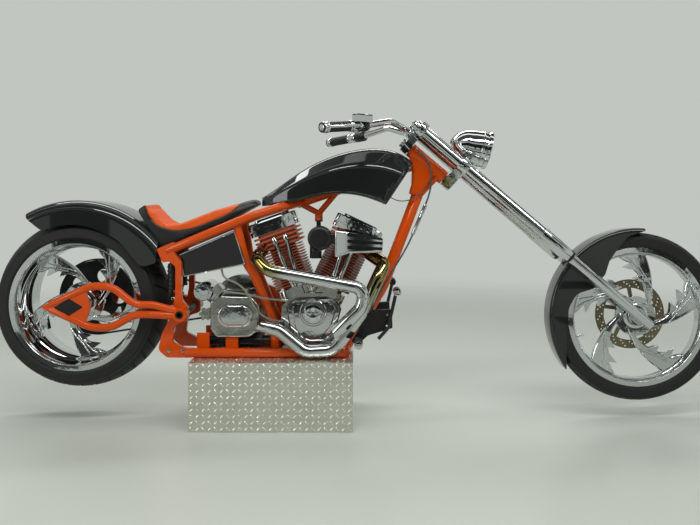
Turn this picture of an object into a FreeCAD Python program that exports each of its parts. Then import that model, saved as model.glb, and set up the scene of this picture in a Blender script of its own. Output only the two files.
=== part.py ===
"""Long-fork custom chopper motorcycle standing on its tread-plate display plinth.

Millimetres, +X forward, +Y to the rider's left, +Z up. The origin is on the floor under the
middle of the machine's length. The frame rails stand on the plinth, so both wheels hang clear
of the floor. Bodies that turn are the two wheels and the front end.
"""

import FreeCAD
import Part
import math
import os

V = FreeCAD.Vector
Y_AXIS = V(0, 1, 0)
Z_AXIS = V(0, 0, 1)

# ------------------------------------------------------------------ driving sizes
rear_axle_z = 478.0
seat_gap = 0.3            # clearance left between two pieces that seat on each other
running_gap = 0.8         # side gap between a turning hub and its fixed spacer

# plinth
plinth_length = 636.0
plinth_width = 480.0
plinth_height = 268.0
plinth_wall = 4.0
plinth_flange = 30.0
plinth_front_x = -30.0
floor_bolt_x = 540.0      # spacing of the floor bolts through the flange
floor_bolt_y = plinth_width - plinth_flange - plinth_wall
floor_bolt_radius = 5.5

# wheels: rear is a wide deep-dish wheel, front is a narrow tall one
rear_tyre_radius = 346.0
rear_tyre_width = 268.0
rear_rim_radius = 265.0
rear_rim_width = 264.0
front_tyre_radius = 346.0
front_tyre_width = 100.0
front_rim_radius = 286.0
front_rim_width = 76.0
rim_lip = 18.0            # how far the rim flange stands above the bead seat
rim_wall = 7.0
spoke_count = 5
blade_bevel = 5.0         # milled bevel along a blade's curved edges
rear_axle_radius = 12.5
front_axle_radius = 12.5

# steering and fork
rake = 49.5               # degrees of the fork from the vertical
stem_offset = 80.0        # stem axis behind the plane of the fork legs
fork_half_spacing = 98.0
fork_upper_radius = 26.0
fork_collar_radius = 28.5
fork_lower_radius = 20.5
fork_foot = 42.0          # leg below the axle
fork_upper_start = 392.0  # distances along the leg, measured up from the axle
fork_collar_end = 535.0
fork_reach = 950.8        # leg from the axle up to the middle of the lower clamp
clamp_spread = 225.2      # between the middles of the two clamps
lower_clamp_x = 417.0     # lower clamp's middle, on the plane of the legs
lower_clamp_z = 1033.5
lower_clamp_height = 42.0
upper_clamp_height = 30.0
leg_over_clamp = 28.0     # leg above the middle of the upper clamp
stem_radius = 18.0
neck_radius = 30.0
neck_gap = 3.0            # neck tube to each clamp
lower_clamp_at = fork_reach
upper_clamp_at = lower_clamp_at + clamp_spread
fork_top = upper_clamp_at + leg_over_clamp

# main frame
rail_radius = 19.0
rail_y = 130.0
cross_tube_radius = 15.0
rail_rear_x = -700.0
cradle_front_x = -62.0
downtube_radius = 24.0
backbone_radius = 22.0
seat_rail_radius = 17.5
seat_post_radius = 17.0
upright_thickness = 26.0
post_back_x = -737.0      # rear face of the upright's post
post_width = 24.0
tyre_to_post = 57.0       # rear tyre to the post's rear face
rear_axle_x = post_back_x - tyre_to_post - rear_tyre_radius
pivot_x = -713.0
pivot_z = 445.0
pivot_boss_radius = 27.0
pivot_shaft_radius = 15.0
pivot_bore_radius = 9.0
rail_z = plinth_height + rail_radius + seat_gap

# swingarm
arm_y = 192.0
arm_tube_radius = 15.0
arm_plate_thickness = 18.0

# engine, 45 degree twin rolled forward by a few degrees
crank_x = -205.0
crank_z = 373.0
vee_angle = 45.0
engine_roll = 3.0
barrel_base = 178.0       # distances from the crank along a cylinder
barrel_top = 352.0
head_top = 424.0
rocker_top = 478.0
barrel_radius = 56.0
fin_half_length = 84.0
fin_half_width = 76.0
fin_pitch = 11.5
fin_thickness = 4.0
crankcase_half_width = 92.0

# final drive
belt_y = 159.0
belt_width = 24.0
belt_thickness = 6.0
rear_pulley_radius = 158.0
front_pulley_radius = 36.0
gearbox_shaft_x = -520.0
gearbox_shaft_z = 452.0

# fenders
rear_fender_radius = 418.0
rear_fender_half_width = 151.0
front_fender_gap = 20.0   # between the tread and the front fender's outer face
front_fender_radius = front_tyre_radius + front_fender_gap
front_fender_half_width = 60.0
fender_sheet = 3.0

parts = {}


# ------------------------------------------------------------------ small helpers
def corner_arc(before, corner, after, radius):
    """Tangent arc that rounds one corner: its first point, middle point and last point."""
    to_before = (before - corner).normalize()
    to_after = (after - corner).normalize()
    half = to_before.getAngle(to_after) / 2
    reach = radius / math.tan(half)
    bisector = (to_before + to_after).normalize()
    centre = corner + bisector * (radius / math.sin(half))
    return corner + to_before * reach, centre - bisector * radius, corner + to_after * reach


def rounded_wire(points, radii, closed=False):
    """Wire through points whose corners are rounded; radii has one value for each point."""
    count = len(points)
    stations = []
    for i, point in enumerate(points):
        at_end = not closed and i in (0, count - 1)
        if at_end or radii[i] <= 0:
            stations.append((point, None, point))
        else:
            stations.append(corner_arc(points[i - 1], point, points[(i + 1) % count], radii[i]))
    edges = []
    last = count if closed else count - 1
    for i in range(count):
        first, middle, end = stations[i]
        if middle is not None:
            edges.append(Part.Arc(first, middle, end).toShape())
        if i < last:
            following = stations[(i + 1) % count][0]
            if end.distanceToPoint(following) > 1e-6:
                edges.append(Part.LineSegment(end, following).toShape())
    return Part.Wire(edges)


def tube(points, radius, bend=0.0, bends=None):
    """Round bar along a polyline whose corners are bent to one radius, or to a list of them."""
    radii = bends if bends is not None else [bend] * len(points)
    path = rounded_wire(points, radii)
    start = points[0]
    circle = Part.Wire(Part.makeCircle(radius, start, points[1] - points[0]))
    return path.makePipeShell([circle], True, False)


def rod(start, end, radius):
    """Straight round bar between two points."""
    return Part.makeCylinder(radius, start.distanceToPoint(end), start, end - start)


def disc_y(x, z, radius, y_low, y_high):
    """Round disc across the machine."""
    return Part.makeCylinder(radius, y_high - y_low, V(x, y_low, z), Y_AXIS)


def side_plate(outline, y_low, y_high):
    """Plate cut in the side view: outline rows are (x, z, corner radius)."""
    points = [V(x, y_low, z) for x, z, _ in outline]
    wire = rounded_wire(points, [r for _, _, r in outline], closed=True)
    return Part.Face(wire).extrude(V(0, y_high - y_low, 0))


def about(point, rows):
    """Side-view rows moved from a named point: (ahead, up, corner radius) to (x, z, radius)."""
    return [(point.x + ahead, point.z + up, radius) for ahead, up, radius in rows]


def block(x_low, x_high, y_low, y_high, z_low, z_high):
    """Box between two corners."""
    return Part.makeBox(x_high - x_low, y_high - y_low, z_high - z_low, V(x_low, y_low, z_low))


def mirrored(shape):
    """The same shape on the other side of the machine."""
    return shape.mirror(V(0, 0, 0), Y_AXIS)


def both_sides(shape):
    """Two loose solids, one on each side."""
    return Part.makeCompound([shape, mirrored(shape)])


def joined(shapes):
    """One solid from touching shapes."""
    whole = shapes[0].fuse(shapes[1:]) if len(shapes) > 1 else shapes[0]
    return whole.removeSplitter()


def turned(profile_rows, x, z):
    """Ring turned about the wheel axle: rows are (y, radius) of a closed outline of lines."""
    points = [V(x, y, z + radius) for y, radius in profile_rows]
    wire = Part.makePolygon(points + points[:1])
    return Part.Face(wire).revolve(V(x, 0, z), Y_AXIS, 360)


def polar(x, z, radius, degrees, y=0.0):
    """Point in the side view at a radius and an angle from +X towards +Z."""
    a = math.radians(degrees)
    return V(x + radius * math.cos(a), y, z + radius * math.sin(a))


# ------------------------------------------------------------------ fork and cylinder frames
rake_rad = math.radians(rake)
fork_up = V(-math.sin(rake_rad), 0, math.cos(rake_rad))
fork_ahead = V(math.cos(rake_rad), 0, math.sin(rake_rad))
lower_clamp = V(lower_clamp_x, 0, lower_clamp_z)
front_axle = lower_clamp - fork_up * fork_reach
front_axle_x, front_axle_z = front_axle.x, front_axle.z
rear_axle = V(rear_axle_x, 0, rear_axle_z)


def on_fork(along, ahead=0.0, y=0.0):
    """Point by its distance up the leg from the axle, ahead of the leg line and across."""
    return front_axle + fork_up * along + fork_ahead * ahead + V(0, y, 0)


def on_stem(along, y=0.0):
    """Point on the steering axis beside a distance along the leg."""
    return on_fork(along, -stem_offset, y)


def cylinder_axes(sign):
    """Up and ahead directions of a cylinder: sign -1 is the rear one, +1 the front one."""
    lean = math.radians(sign * vee_angle / 2 + engine_roll)
    return V(math.sin(lean), 0, math.cos(lean)), V(math.cos(lean), 0, -math.sin(lean))


def on_cylinder(sign, along, ahead=0.0, y=0.0):
    """Point by its distance from the crank along a cylinder, ahead of its axis and across."""
    up, ahead_dir = cylinder_axes(sign)
    return V(crank_x, y, crank_z) + up * along + ahead_dir * ahead


def cylinder_slab(sign, low, high, half_length, half_width, corner):
    """Rounded rectangular slab square to a cylinder, between two distances along it."""
    corners = [(-1, -1), (1, -1), (1, 1), (-1, 1)]
    points = [on_cylinder(sign, low, a * half_length, b * half_width) for a, b in corners]
    up, _ = cylinder_axes(sign)
    return Part.Face(rounded_wire(points, [corner] * 4, closed=True)).extrude(up * (high - low))


# ------------------------------------------------------------------ plinth
def make_plinth():
    """Folded tread-plate box, open below, with an inward flange round its foot."""
    x_high = plinth_front_x
    x_low = x_high - plinth_length
    half = plinth_width / 2
    shell = block(x_low, x_high, -half, half, 0, plinth_height)
    w = plinth_wall
    inner = block(x_low + w, x_high - w, -half + w, half - w, w, plinth_height - w)
    f = plinth_flange
    mouth = block(x_low + f, x_high - f, -half + f, half - f, 0, plinth_height / 2)
    holes = []
    middle_x = (x_low + x_high) / 2
    for x in (middle_x - floor_bolt_x / 2, middle_x + floor_bolt_x / 2):
        for y in (-floor_bolt_y / 2, floor_bolt_y / 2):
            holes.append(Part.makeCylinder(floor_bolt_radius, w + 2, V(x, y, -1)))
    return shell.cut(inner).cut(mouth).cut(holes)


# ------------------------------------------------------------------ wheels
def make_tyre(axle, radius, width, rim_radius, rim_width):
    """Tyre as one ring: round crown, bulged walls, beads seated inside the rim flanges."""
    bead_y = rim_width / 2 - rim_wall - seat_gap
    bead_r = rim_radius - rim_lip + seat_gap
    foot_r = rim_radius + 2.0
    foot_y = bead_y + rim_wall * 0.7
    half = width / 2
    shoulder_y, shoulder_r = half * 0.88, radius - width * 0.11
    wall_r = (radius + rim_radius) / 2

    def at(y, r):
        return V(axle.x, y, axle.z + r)

    edges = [
        Part.Arc(at(-shoulder_y, shoulder_r), at(0, radius), at(shoulder_y, shoulder_r)).toShape(),
        Part.Arc(at(shoulder_y, shoulder_r), at(half, wall_r), at(foot_y, foot_r)).toShape(),
        Part.LineSegment(at(foot_y, foot_r), at(bead_y, foot_r)).toShape(),
        Part.LineSegment(at(bead_y, foot_r), at(bead_y, bead_r)).toShape(),
        Part.LineSegment(at(bead_y, bead_r), at(-bead_y, bead_r)).toShape(),
        Part.LineSegment(at(-bead_y, bead_r), at(-bead_y, foot_r)).toShape(),
        Part.LineSegment(at(-bead_y, foot_r), at(-foot_y, foot_r)).toShape(),
        Part.Arc(at(-foot_y, foot_r), at(-half, wall_r), at(-shoulder_y, shoulder_r)).toShape(),
    ]
    return Part.Face(Part.Wire(edges)).revolve(V(axle.x, 0, axle.z), Y_AXIS, 360)


def make_blade(axle, rim_inner, hub_radius, tip_angle, y_low, y_high):
    """Hooked blade spoke with two barbs on its hollow trailing edge and milled bevels."""
    def at(share, degrees):
        radius = hub_radius + (rim_inner - hub_radius) * share
        return polar(axle.x, axle.z, radius, tip_angle + degrees, y_low)

    overlap = 1.03
    root_lead, mid_lead, tip_lead = at(-0.15, -80), at(0.42, -27), at(overlap, -9)
    tip_trail, flare, notch = at(overlap, 17), at(0.93, 14), at(0.80, 5)
    barb, barb_root = at(0.72, 14), at(0.62, 2)
    hollow, second_notch = at(0.56, -2), at(0.50, -5)
    second_barb, second_root = at(0.43, 3), at(0.35, -11)
    mid_trail, root_trail = at(0.18, -22), at(-0.10, -42)
    edges = [
        Part.Arc(root_lead, mid_lead, tip_lead).toShape(),
        Part.LineSegment(tip_lead, tip_trail).toShape(),
        Part.Arc(tip_trail, flare, notch).toShape(),
        Part.LineSegment(notch, barb).toShape(),
        Part.LineSegment(barb, barb_root).toShape(),
        Part.Arc(barb_root, hollow, second_notch).toShape(),
        Part.LineSegment(second_notch, second_barb).toShape(),
        Part.LineSegment(second_barb, second_root).toShape(),
        Part.Arc(second_root, mid_trail, root_trail).toShape(),
        Part.LineSegment(root_trail, root_lead).toShape(),
    ]
    blade = Part.Face(Part.Wire(edges)).extrude(V(0, y_high - y_low, 0))
    # the long leading arc and the trailing hollows are bevelled on both faces
    curved = [e for e in blade.Edges if e.Curve.TypeId == "Part::GeomCircle"]
    return blade.makeChamfer(blade_bevel, curved)


def make_wheel(axle, rim_radius, rim_width, barrel_radius_, hub_radius, blade_y, phase,
               axle_radius, hub_half):
    """Rim with flanges and a stepped barrel, bladed centre and hub, as one casting."""
    half = rim_width / 2
    seat = rim_radius - rim_lip
    drop = barrel_radius_
    outline = [
        (-half, rim_radius), (-half + rim_wall, rim_radius - 3), (-half + rim_wall, seat),
        (-half * 0.55, seat - 4), (-half * 0.4, drop + rim_wall), (half * 0.4, drop + rim_wall),
        (half * 0.55, seat - 4), (half - rim_wall, seat), (half - rim_wall, rim_radius - 3),
        (half, rim_radius), (half, seat - 2), (half - 6, seat - rim_wall),
        (half * 0.5, seat - rim_wall - 6), (half * 0.36, drop), (-half * 0.36, drop),
        (-half * 0.5, seat - rim_wall - 6), (-half + 6, seat - rim_wall), (-half, seat - 2),
    ]
    rim = turned(outline, axle.x, axle.z)
    blade_low, blade_high = blade_y
    step = 360.0 / spoke_count
    blades = [make_blade(axle, drop, hub_radius, phase + i * step, blade_low, blade_high)
              for i in range(spoke_count)]
    disc = disc_y(axle.x, axle.z, hub_radius, blade_low + 3, blade_high - 3)
    hub = disc_y(axle.x, axle.z, hub_radius * 0.42, -hub_half, hub_half)
    bore = disc_y(axle.x, axle.z, axle_radius + seat_gap, -hub_half, hub_half)
    return joined([rim, disc, hub] + blades).cut(bore)


def make_rear_tyre():
    """Very wide low-profile rear tyre."""
    return make_tyre(rear_axle, rear_tyre_radius, rear_tyre_width, rear_rim_radius, rear_rim_width)


def make_front_tyre():
    """Tall narrow front tyre."""
    return make_tyre(front_axle, front_tyre_radius, front_tyre_width, front_rim_radius, front_rim_width)


rear_hub_half = 136.0
front_hub_half = 50.0


def make_rear_rim():
    """Deep-dish rear wheel with its bladed centre set back in the barrel."""
    return make_wheel(rear_axle, rear_rim_radius, rear_rim_width, 226.0, 82.0, (-26, 6), 60,
                      rear_axle_radius, rear_hub_half)


def make_front_rim():
    """Front wheel with five hooked blades."""
    return make_wheel(front_axle, front_rim_radius, front_rim_width, 256.0, 82.0, (-13, 13), 90,
                      front_axle_radius, front_hub_half)


front_rotor_y = 62.0
front_rotor_radius = 146.0
rotor_thickness = 5.0


def make_front_rotor():
    """Floating brake disc: outer band on a spider with drilled windows, bolted to the hub."""
    x, z = front_axle.x, front_axle.z
    low, high = front_rotor_y - rotor_thickness / 2, front_rotor_y + rotor_thickness / 2
    band = disc_y(x, z, front_rotor_radius, low, high)
    band = band.cut(disc_y(x, z, front_rotor_radius - 36, low, high))
    carrier = disc_y(x, z, 46, front_hub_half + seat_gap, high)
    arms = []
    for i in range(5):
        tip = polar(x, z, front_rotor_radius - 30, 72 * i + 20, low)
        root = polar(x, z, 30, 72 * i - 8, low)
        across = (tip - root).cross(Y_AXIS).normalize() * 8
        corners = [root - across, tip - across, tip + across, root + across]
        arm = Part.Face(Part.makePolygon(corners + corners[:1]))
        arms.append(arm.extrude(V(0, rotor_thickness, 0)))
    whole = joined([band, carrier] + arms)
    return whole.cut(disc_y(x, z, front_axle_radius + seat_gap, front_hub_half - 5, high + 5))


def make_rear_pulley():
    """Toothed-belt pulley on the left of the rear hub."""
    x, z = rear_axle.x, rear_axle.z
    low, high = belt_y - belt_width / 2, belt_y + belt_width / 2
    rim = disc_y(x, z, rear_pulley_radius, low, high)
    rim = rim.cut(disc_y(x, z, rear_pulley_radius - 20, low, high))
    web = disc_y(x, z, rear_pulley_radius - 18, low, low + 8)
    hub_low = rear_hub_half + seat_gap
    hub = disc_y(x, z, 50, hub_low, high - 4)
    windows = []
    for i in range(spoke_count):
        windows.append(disc_y(*polar_xz(x, z, 95, 72 * i), 30, low - 1, low + 9))
    whole = joined([rim, web.cut(windows), hub])
    return whole.cut(disc_y(x, z, rear_axle_radius + seat_gap, hub_low - 1, high + 1))


def polar_xz(x, z, radius, degrees):
    """x and z of a point by radius and angle in the side view."""
    point = polar(x, z, radius, degrees)
    return point.x, point.z


# ------------------------------------------------------------------ frame
def neck_line():
    """Lower and upper end of the neck tube on the steering axis."""
    low = lower_clamp_at + lower_clamp_height / 2 + neck_gap
    high = upper_clamp_at - upper_clamp_height / 2 - neck_gap
    return low, high


steady_x = -172.0
steady_z = crank_z + 449.0
gland_radius = 7.0
clip_radius = 5.0
clip_at = lower_clamp + V(-114, 0, -33.5)     # clip on the gusset that ends the breather line

# cord routes, from where each leaves the machine to where it goes back in
control_cable_radius = 3.5
cable_route = [
    V(238, -38, 1096), V(248, -46, 1087), V(266, -50, 1071), V(284, -49, 1042), V(292, -47, 1004),
    V(291, -45, 962), V(283, -43, 922), V(271, -42, 886), V(211, -42, 746), V(192, -43, 707),
    V(168, -48, 666), V(140, -57, 622), V(110, -71, 574), V(84, -88, 532), V(64, -104, 500),
    V(52, -114, 478), V(48, -119, 457.8),
]
adjuster_run = 7          # the run of the cable that carries the adjuster
adjuster_radius = 8.0
breather_radius = 2.0
breather_route = [
    V(122.8, -36, 909.6), V(145, -36, 895.5), V(176, -36, 892), V(208, -36, 898), V(238, -35.5, 915),
    V(262, -35, 941), V(280, -33.5, 967), V(291, -32.5, 983.5), V(301, -32, 997),
]
hose_radius = 4.0
rear_hose_route = [
    V(-560, -98, 619.2), V(-557.5, -98.5, 600), V(-547, -101, 583.5), V(-528, -106, 574),
    V(-502, -113, 566), V(-472, -120, 548), V(-448, -124.5, 518), V(-431, -126, 482),
    V(-411, -124, 450), V(-384, -116, 427), V(-356, -105, 414), V(-330.3, -93.2, 408.2),
]
top_hose_route = [
    V(-544.5, -84.2, 526.9), V(-527, -87, 525), V(-501, -93, 521.5), V(-471, -101, 519.5),
    V(-438, -107, 514), V(-402, -108, 505), V(-370, -104, 498), V(-344, -98, 495), V(-322.3, -92.1, 493.1),
]


def make_backbone():
    """Neck tube with its moulded gusset, the tube under the tank and the top engine mount."""
    low, high = neck_line()
    neck = rod(on_stem(low), on_stem(high), neck_radius)
    gusset_half = 27.0
    # columns: ahead of the lower clamp, above it, corner radius
    outline = [
        (-205, 68.5, 6), (-215, 44.5, 12), (-203, -13.5, 30), (-205, -71.5, 30), (-217, -111.5, 10),
        (-163, -125.5, 10), (-127, -85.5, 25), (-91, -49.5, 8), (-60, -19.5, 4), (-177, 68.5, 4),
    ]
    gusset = side_plate(about(lower_clamp, outline), -gusset_half, gusset_half)
    gusset = gusset.makeFillet(9.0, [e for e in gusset.Edges if not is_across(e)])
    spine = tube([lower_clamp + V(-165, 0, 18.5), V(40, 0, 985), V(-262, 0, 884)], backbone_radius, 400.0)
    mount_low = V(-172, 0, 842)
    strut_radius = 12.0
    struts = [rod(V(-252, 0, 884), mount_low, strut_radius), rod(V(-92, 0, 936), mount_low, strut_radius)]
    ear = block(mount_low.x - 16, mount_low.x + 16, -9, 9, mount_low.z - 34, mount_low.z)
    steady_bolt = disc_y(steady_x, steady_z, steady_radius, -31, 0)
    first_run = (cable_route[1] - cable_route[0]).normalize()
    gland = rod(cable_route[0] - first_run * 18, cable_route[0], gland_radius)
    clip = disc_y(clip_at.x, clip_at.z, clip_radius, -gusset_half - 9, -gusset_half + 1)
    whole = joined([neck, gusset, spine] + struts + [ear, steady_bolt, gland, clip])
    bore = rod(on_stem(low - 1), on_stem(high + 1), stem_radius + seat_gap)
    return whole.cut(bore)


def is_across(edge):
    """True for an edge that runs across the machine."""
    return abs(edge.tangentAt(edge.FirstParameter).dot(Y_AXIS)) > 0.9


def make_downtube(backbone):
    """Single front downtube, from the gusset to the front cross tube of the cradle."""
    foot = V(cradle_front_x, 0, rail_z)
    main = tube([lower_clamp + V(-173, 0, -95.5), V(93, 0, 540), foot], downtube_radius, 190.0)
    cross = rod(V(cradle_front_x, -rail_y, rail_z), V(cradle_front_x, rail_y, rail_z), rail_radius)
    return joined([main, cross]).cut(backbone)


cradle_cross_x = (-345.0, -518.0, -634.0)
mount_strap_half = 25.0
gearbox_floor_z = 344.0


def make_cradle(downtube):
    """Two lower rails with the cross tubes and the upright mounting straps."""
    pieces = []
    for side in (-1, 1):
        pieces.append(rod(V(rail_rear_x, side * rail_y, rail_z),
                          V(cradle_front_x, side * rail_y, rail_z), rail_radius))
    for x in cradle_cross_x:
        pieces.append(rod(V(x, -rail_y, rail_z), V(x, rail_y, rail_z), cross_tube_radius))
    strap_top = {cradle_cross_x[1]: gearbox_floor_z - seat_gap, cradle_cross_x[2]: 362.0}
    for x, top in strap_top.items():
        for side in (-1, 1):
            low, high = sorted((side * 96.0, side * 102.0))
            strap = block(x - mount_strap_half, x + mount_strap_half, low, high, rail_z - 10, top)
            pieces.append(strap)
    return joined(pieces).cut(downtube)


def seat_rail(side, radius):
    """One upper rail, from the spine under the tank out and back to the upright."""
    # columns: x, distance to the side, z, bend radius
    route = [(-238, 8, 890, 0), (-330, 92, 867, 60), (-432, rail_y, 835, 110), (-772, rail_y, 694, 0)]
    points = [V(px, side * py, pz) for px, py, pz, _ in route]
    return tube(points, radius, bends=[bend for _, _, _, bend in route])


def make_seat_rails(backbone):
    """Two upper rails that spread from the spine under the tank to the rear uprights."""
    pieces = []
    for side in (-1, 1):
        pieces.append(seat_rail(side, seat_rail_radius))
    cross_at = V(-700, 0, 724)
    pieces.append(rod(V(cross_at.x, -rail_y, cross_at.z), V(cross_at.x, rail_y, cross_at.z), 13.0))
    return joined(pieces).cut(backbone)


def make_uprights(cradle, seat_rails):
    """Rear uprights: an elbow at the seat rail, a slim post, the pivot boss and a corner plate."""
    low, high = rail_y - upright_thickness / 2, rail_y + upright_thickness / 2
    front_x = post_back_x + post_width
    outline = [
        (-812, 702, 6), (-744, 730, 4), (-738, 716, 4), (-744, 690, 10), (front_x, 650, 16),
        (front_x, 500, 30), (-688, 470, 14), (-688, 416, 14), (-738, 400, 24), (-750, 330, 16),
        (-700, 306, 10), (-668, 306, 6), (-668, 269, 6), (-770, 270, 22), (-806, 300, 26),
        (-790, 366, 30), (-752, 440, 30), (post_back_x, 520, 40), (post_back_x, 632, 16),
        (-760, 652, 8), (-788, 648, 8),
    ]
    plate = side_plate(outline, low, high)
    boss = disc_y(pivot_x, pivot_z, pivot_boss_radius, low - 3, high + 3)
    bore = disc_y(pivot_x, pivot_z, pivot_shaft_radius + seat_gap, low - 4, high + 4)
    whole = joined([plate, boss]).cut(bore)
    return Part.makeCompound([whole.cut([cradle, seat_rails]), mirrored(whole).cut([cradle, seat_rails])])


def seat_post(side, radius):
    """One bent seat post, from the upper rail down to the cradle's front cross tube."""
    # columns: x, distance to the side, z, bend radius
    route = [(-496, 118, 800, 0), (-464, 74, 640, 90), (-434, 74, 596, 90), (-352, 74, 404, 90),
             (cradle_cross_x[0], 74, rail_z, 0)]
    points = [V(px, side * py, pz) for px, py, pz, _ in route]
    return tube(points, radius, bends=[bend for _, _, _, bend in route])


def make_seat_posts(cradle, seat_rails):
    """Two seat posts between the engine and the gearbox."""
    return Part.makeCompound([seat_post(side, seat_post_radius).cut([cradle, seat_rails]) for side in (-1, 1)])


def make_pivot_shaft():
    """Hollow swingarm pivot shaft through both uprights and the arm bosses."""
    reach = arm_y - 4
    shaft = disc_y(pivot_x, pivot_z, pivot_shaft_radius, -reach, reach)
    return shaft.cut(disc_y(pivot_x, pivot_z, pivot_bore_radius, -reach, reach))


arm_mid_z = 478.0
arm_waist_z = 467.0
# corners of the diamond recess round the axle: distance ahead, distance up
axle_diamond = [(-62, -2), (0, 34), (56, 0), (0, -35)]
# plate that fills the eye's pointed end: ahead of the axle, above it, corner radius
eye_plate = [(-115, 0, 6), (58, 79, 10), (84, 0, 60), (58, -77, 10)]
arm_eye = V(rear_axle_x, 0, arm_mid_z)


def make_swingarm():
    """Eye-shaped arm on each side: two bent tubes that close to a pointed plate at the axle."""
    arms = []
    half = arm_plate_thickness / 2
    boss_low = rail_y + upright_thickness / 2 + 3 + seat_gap
    boss_high = arm_y - 8
    diamond = [(rear_axle_x + dx, rear_axle_z + dz, 3) for dx, dz in axle_diamond]
    for side in (-1, 1):
        y = side * arm_y
        hub_y = side * (boss_low + boss_high) / 2
        # columns: distance of the waist, eye and tip bends above or below the arm's middle line
        for waist, eye, tip in ((19, 81, 8), (-19, -81, -8)):
            route = [(rear_axle_x - 77, arm_mid_z + tip, y, 0), (rear_axle_x + 84, arm_mid_z + eye, y, 110),
                     (rear_axle_x + 165, arm_mid_z + eye, y, 110), (pivot_x - 172, arm_waist_z + waist, y, 90),
                     (pivot_x - 99, arm_waist_z + waist, y, 60), (pivot_x, pivot_z + waist * 0.4, hub_y, 0)]
            points = [V(px, py, pz) for px, pz, py, _ in route]
            arms.append(tube(points, arm_tube_radius, bends=[bend for _, _, _, bend in route]))
        arms.append(side_plate(about(arm_eye, eye_plate), y - half, y + half))
        low, high = sorted((side * boss_low, side * boss_high))
        arms.append(disc_y(pivot_x, pivot_z, pivot_boss_radius, low, high))
    reach = arm_y + arm_tube_radius + 5
    recess = side_plate(diamond, -reach, reach)
    bore = disc_y(pivot_x, pivot_z, pivot_shaft_radius + seat_gap, -reach, reach)
    whole = arms[0].fuse(arms[1:])
    return whole.cut([recess, bore]).removeSplitter()


axle_cover = 4.0          # what the plate leaves over the spindle's end


def make_axle_plates():
    """Diamond axle plates, dark inserts that close the eye at the wheel axle."""
    half = arm_plate_thickness / 2 - 4
    centre = V(rear_axle_x, 0, rear_axle_z)
    shrink = 1 - 2 * seat_gap / 34
    outline = [(centre.x + dx * shrink, centre.z + dz * shrink, 3) for dx, dz in axle_diamond]
    plate = side_plate(outline, -arm_y - half, -arm_y + half)
    blind = -arm_y - half + axle_cover - seat_gap
    bore = disc_y(centre.x, centre.z, rear_axle_radius + seat_gap, blind, -arm_y + 20)
    return both_sides(plate.cut(bore))


def make_rear_axle():
    """Rear wheel spindle with its spacers, between the two axle plates."""
    reach = arm_y + arm_plate_thickness / 2 - 4 - axle_cover
    spindle = disc_y(rear_axle_x, rear_axle_z, rear_axle_radius, -reach, reach)
    plate_face = arm_y - arm_plate_thickness / 2 + 4 - seat_gap
    right = disc_y(rear_axle_x, rear_axle_z, 19, -plate_face, -rear_hub_half - running_gap)
    left = disc_y(rear_axle_x, rear_axle_z, 19, belt_y + belt_width / 2 + running_gap, plate_face)
    return joined([spindle, right, left])


def make_dampers():
    """Pair of rear dampers: gaitered body behind the post, rod, and pins to elbow and arm."""
    y = 97.0
    body_radius, rod_radius, pin_radius = 19.0, 6.0, 9.0
    centre_x = post_back_x - 3 - body_radius
    top, body_end, foot = V(centre_x + 2, -y, 640), V(centre_x, -y, 534), V(centre_x - 6, -y, 500)
    post_face = rail_y - upright_thickness / 2 - seat_gap
    arm_face = rail_y + upright_thickness / 2 + 3 + seat_gap
    upper_pin = disc_y(top.x - 6, top.z + 24, pin_radius, -post_face, -y)
    neck = rod(top, V(top.x - 6, -y, top.z + 24), 11.0)
    rings = []
    for i in range(6):
        at = top + (body_end - top) * ((i + 0.5) / 6)
        rings.append(rod(at, at + (body_end - top).normalize() * 7, body_radius + 2.5))
    body = joined([rod(top, body_end, body_radius), rod(body_end, foot, rod_radius), neck, upper_pin] + rings)
    return both_sides(body)


def make_belly_dampers():
    """Two dampers that lie lengthwise on the cradle's cross tubes, under the gearbox."""
    body_radius, eye_radius = 20.0, 13.0
    z = rail_z + cross_tube_radius + seat_gap + body_radius
    pieces = []
    for side in (-1, 1):
        body = rod(V(-622, side * 44, z), V(-402, side * 44, z), body_radius)
        stem = rod(V(-402, side * 44, z), V(-366, side * 44, z), 8.0)
        eye = disc_y(-358, z, eye_radius, side * 44 - 11, side * 44 + 11)
        pieces.append(joined([body, stem, eye]))
    return Part.makeCompound(pieces)


# ------------------------------------------------------------------ bodywork
def make_fuel_tank():
    """Stretched tank: arched top, flat skirt and raked nose, lofted through cross-sections."""
    # columns: x, z of the top, z of the skirt, half width
    stations = [(-404, 908, 872, 34), (-300, 976, 886, 84), (-150, 1062, 917, 124), (30, 1107, 906, 136),
                (140, 1096, 862, 124), (lower_clamp_x - 195, lower_clamp_z + 11.5, lower_clamp_z - 193.5, 98)]
    wires = []
    for x, top, foot, half in stations:
        shoulder = (top - foot) * 0.36
        points = [V(x, -half, foot), V(x, -half, top - shoulder), V(x, -half * 0.55, top),
                  V(x, half * 0.55, top), V(x, half, top - shoulder), V(x, half, foot)]
        soft = min(half * 0.36, shoulder * 0.7)
        wires.append(rounded_wire(points, [2, soft, soft, soft, soft, 2], closed=True))
    body = Part.makeLoft(wires, True, False)
    nose_rows = [(-318, -160.5, 0), (-198, 18.5, 0), (-97, 166.5, 0), (-97, -333.5, 0), (-433, -333.5, 0)]
    nose = side_plate(about(lower_clamp, nose_rows), -220, 220)
    spine_clear = backbone_radius + 8
    tunnel = side_plate([(-450, 700, 0), (-450, 858, 0), (-290, 908, 0), (40, 1016, 60), (320, 1104, 0), (320, 700, 0)],
                        -spine_clear, spine_clear)
    body = body.cut(nose).cut(tunnel)
    for side in (-1, 1):
        body = body.cut(seat_rail(side, seat_rail_radius + seat_gap))
    return body


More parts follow.
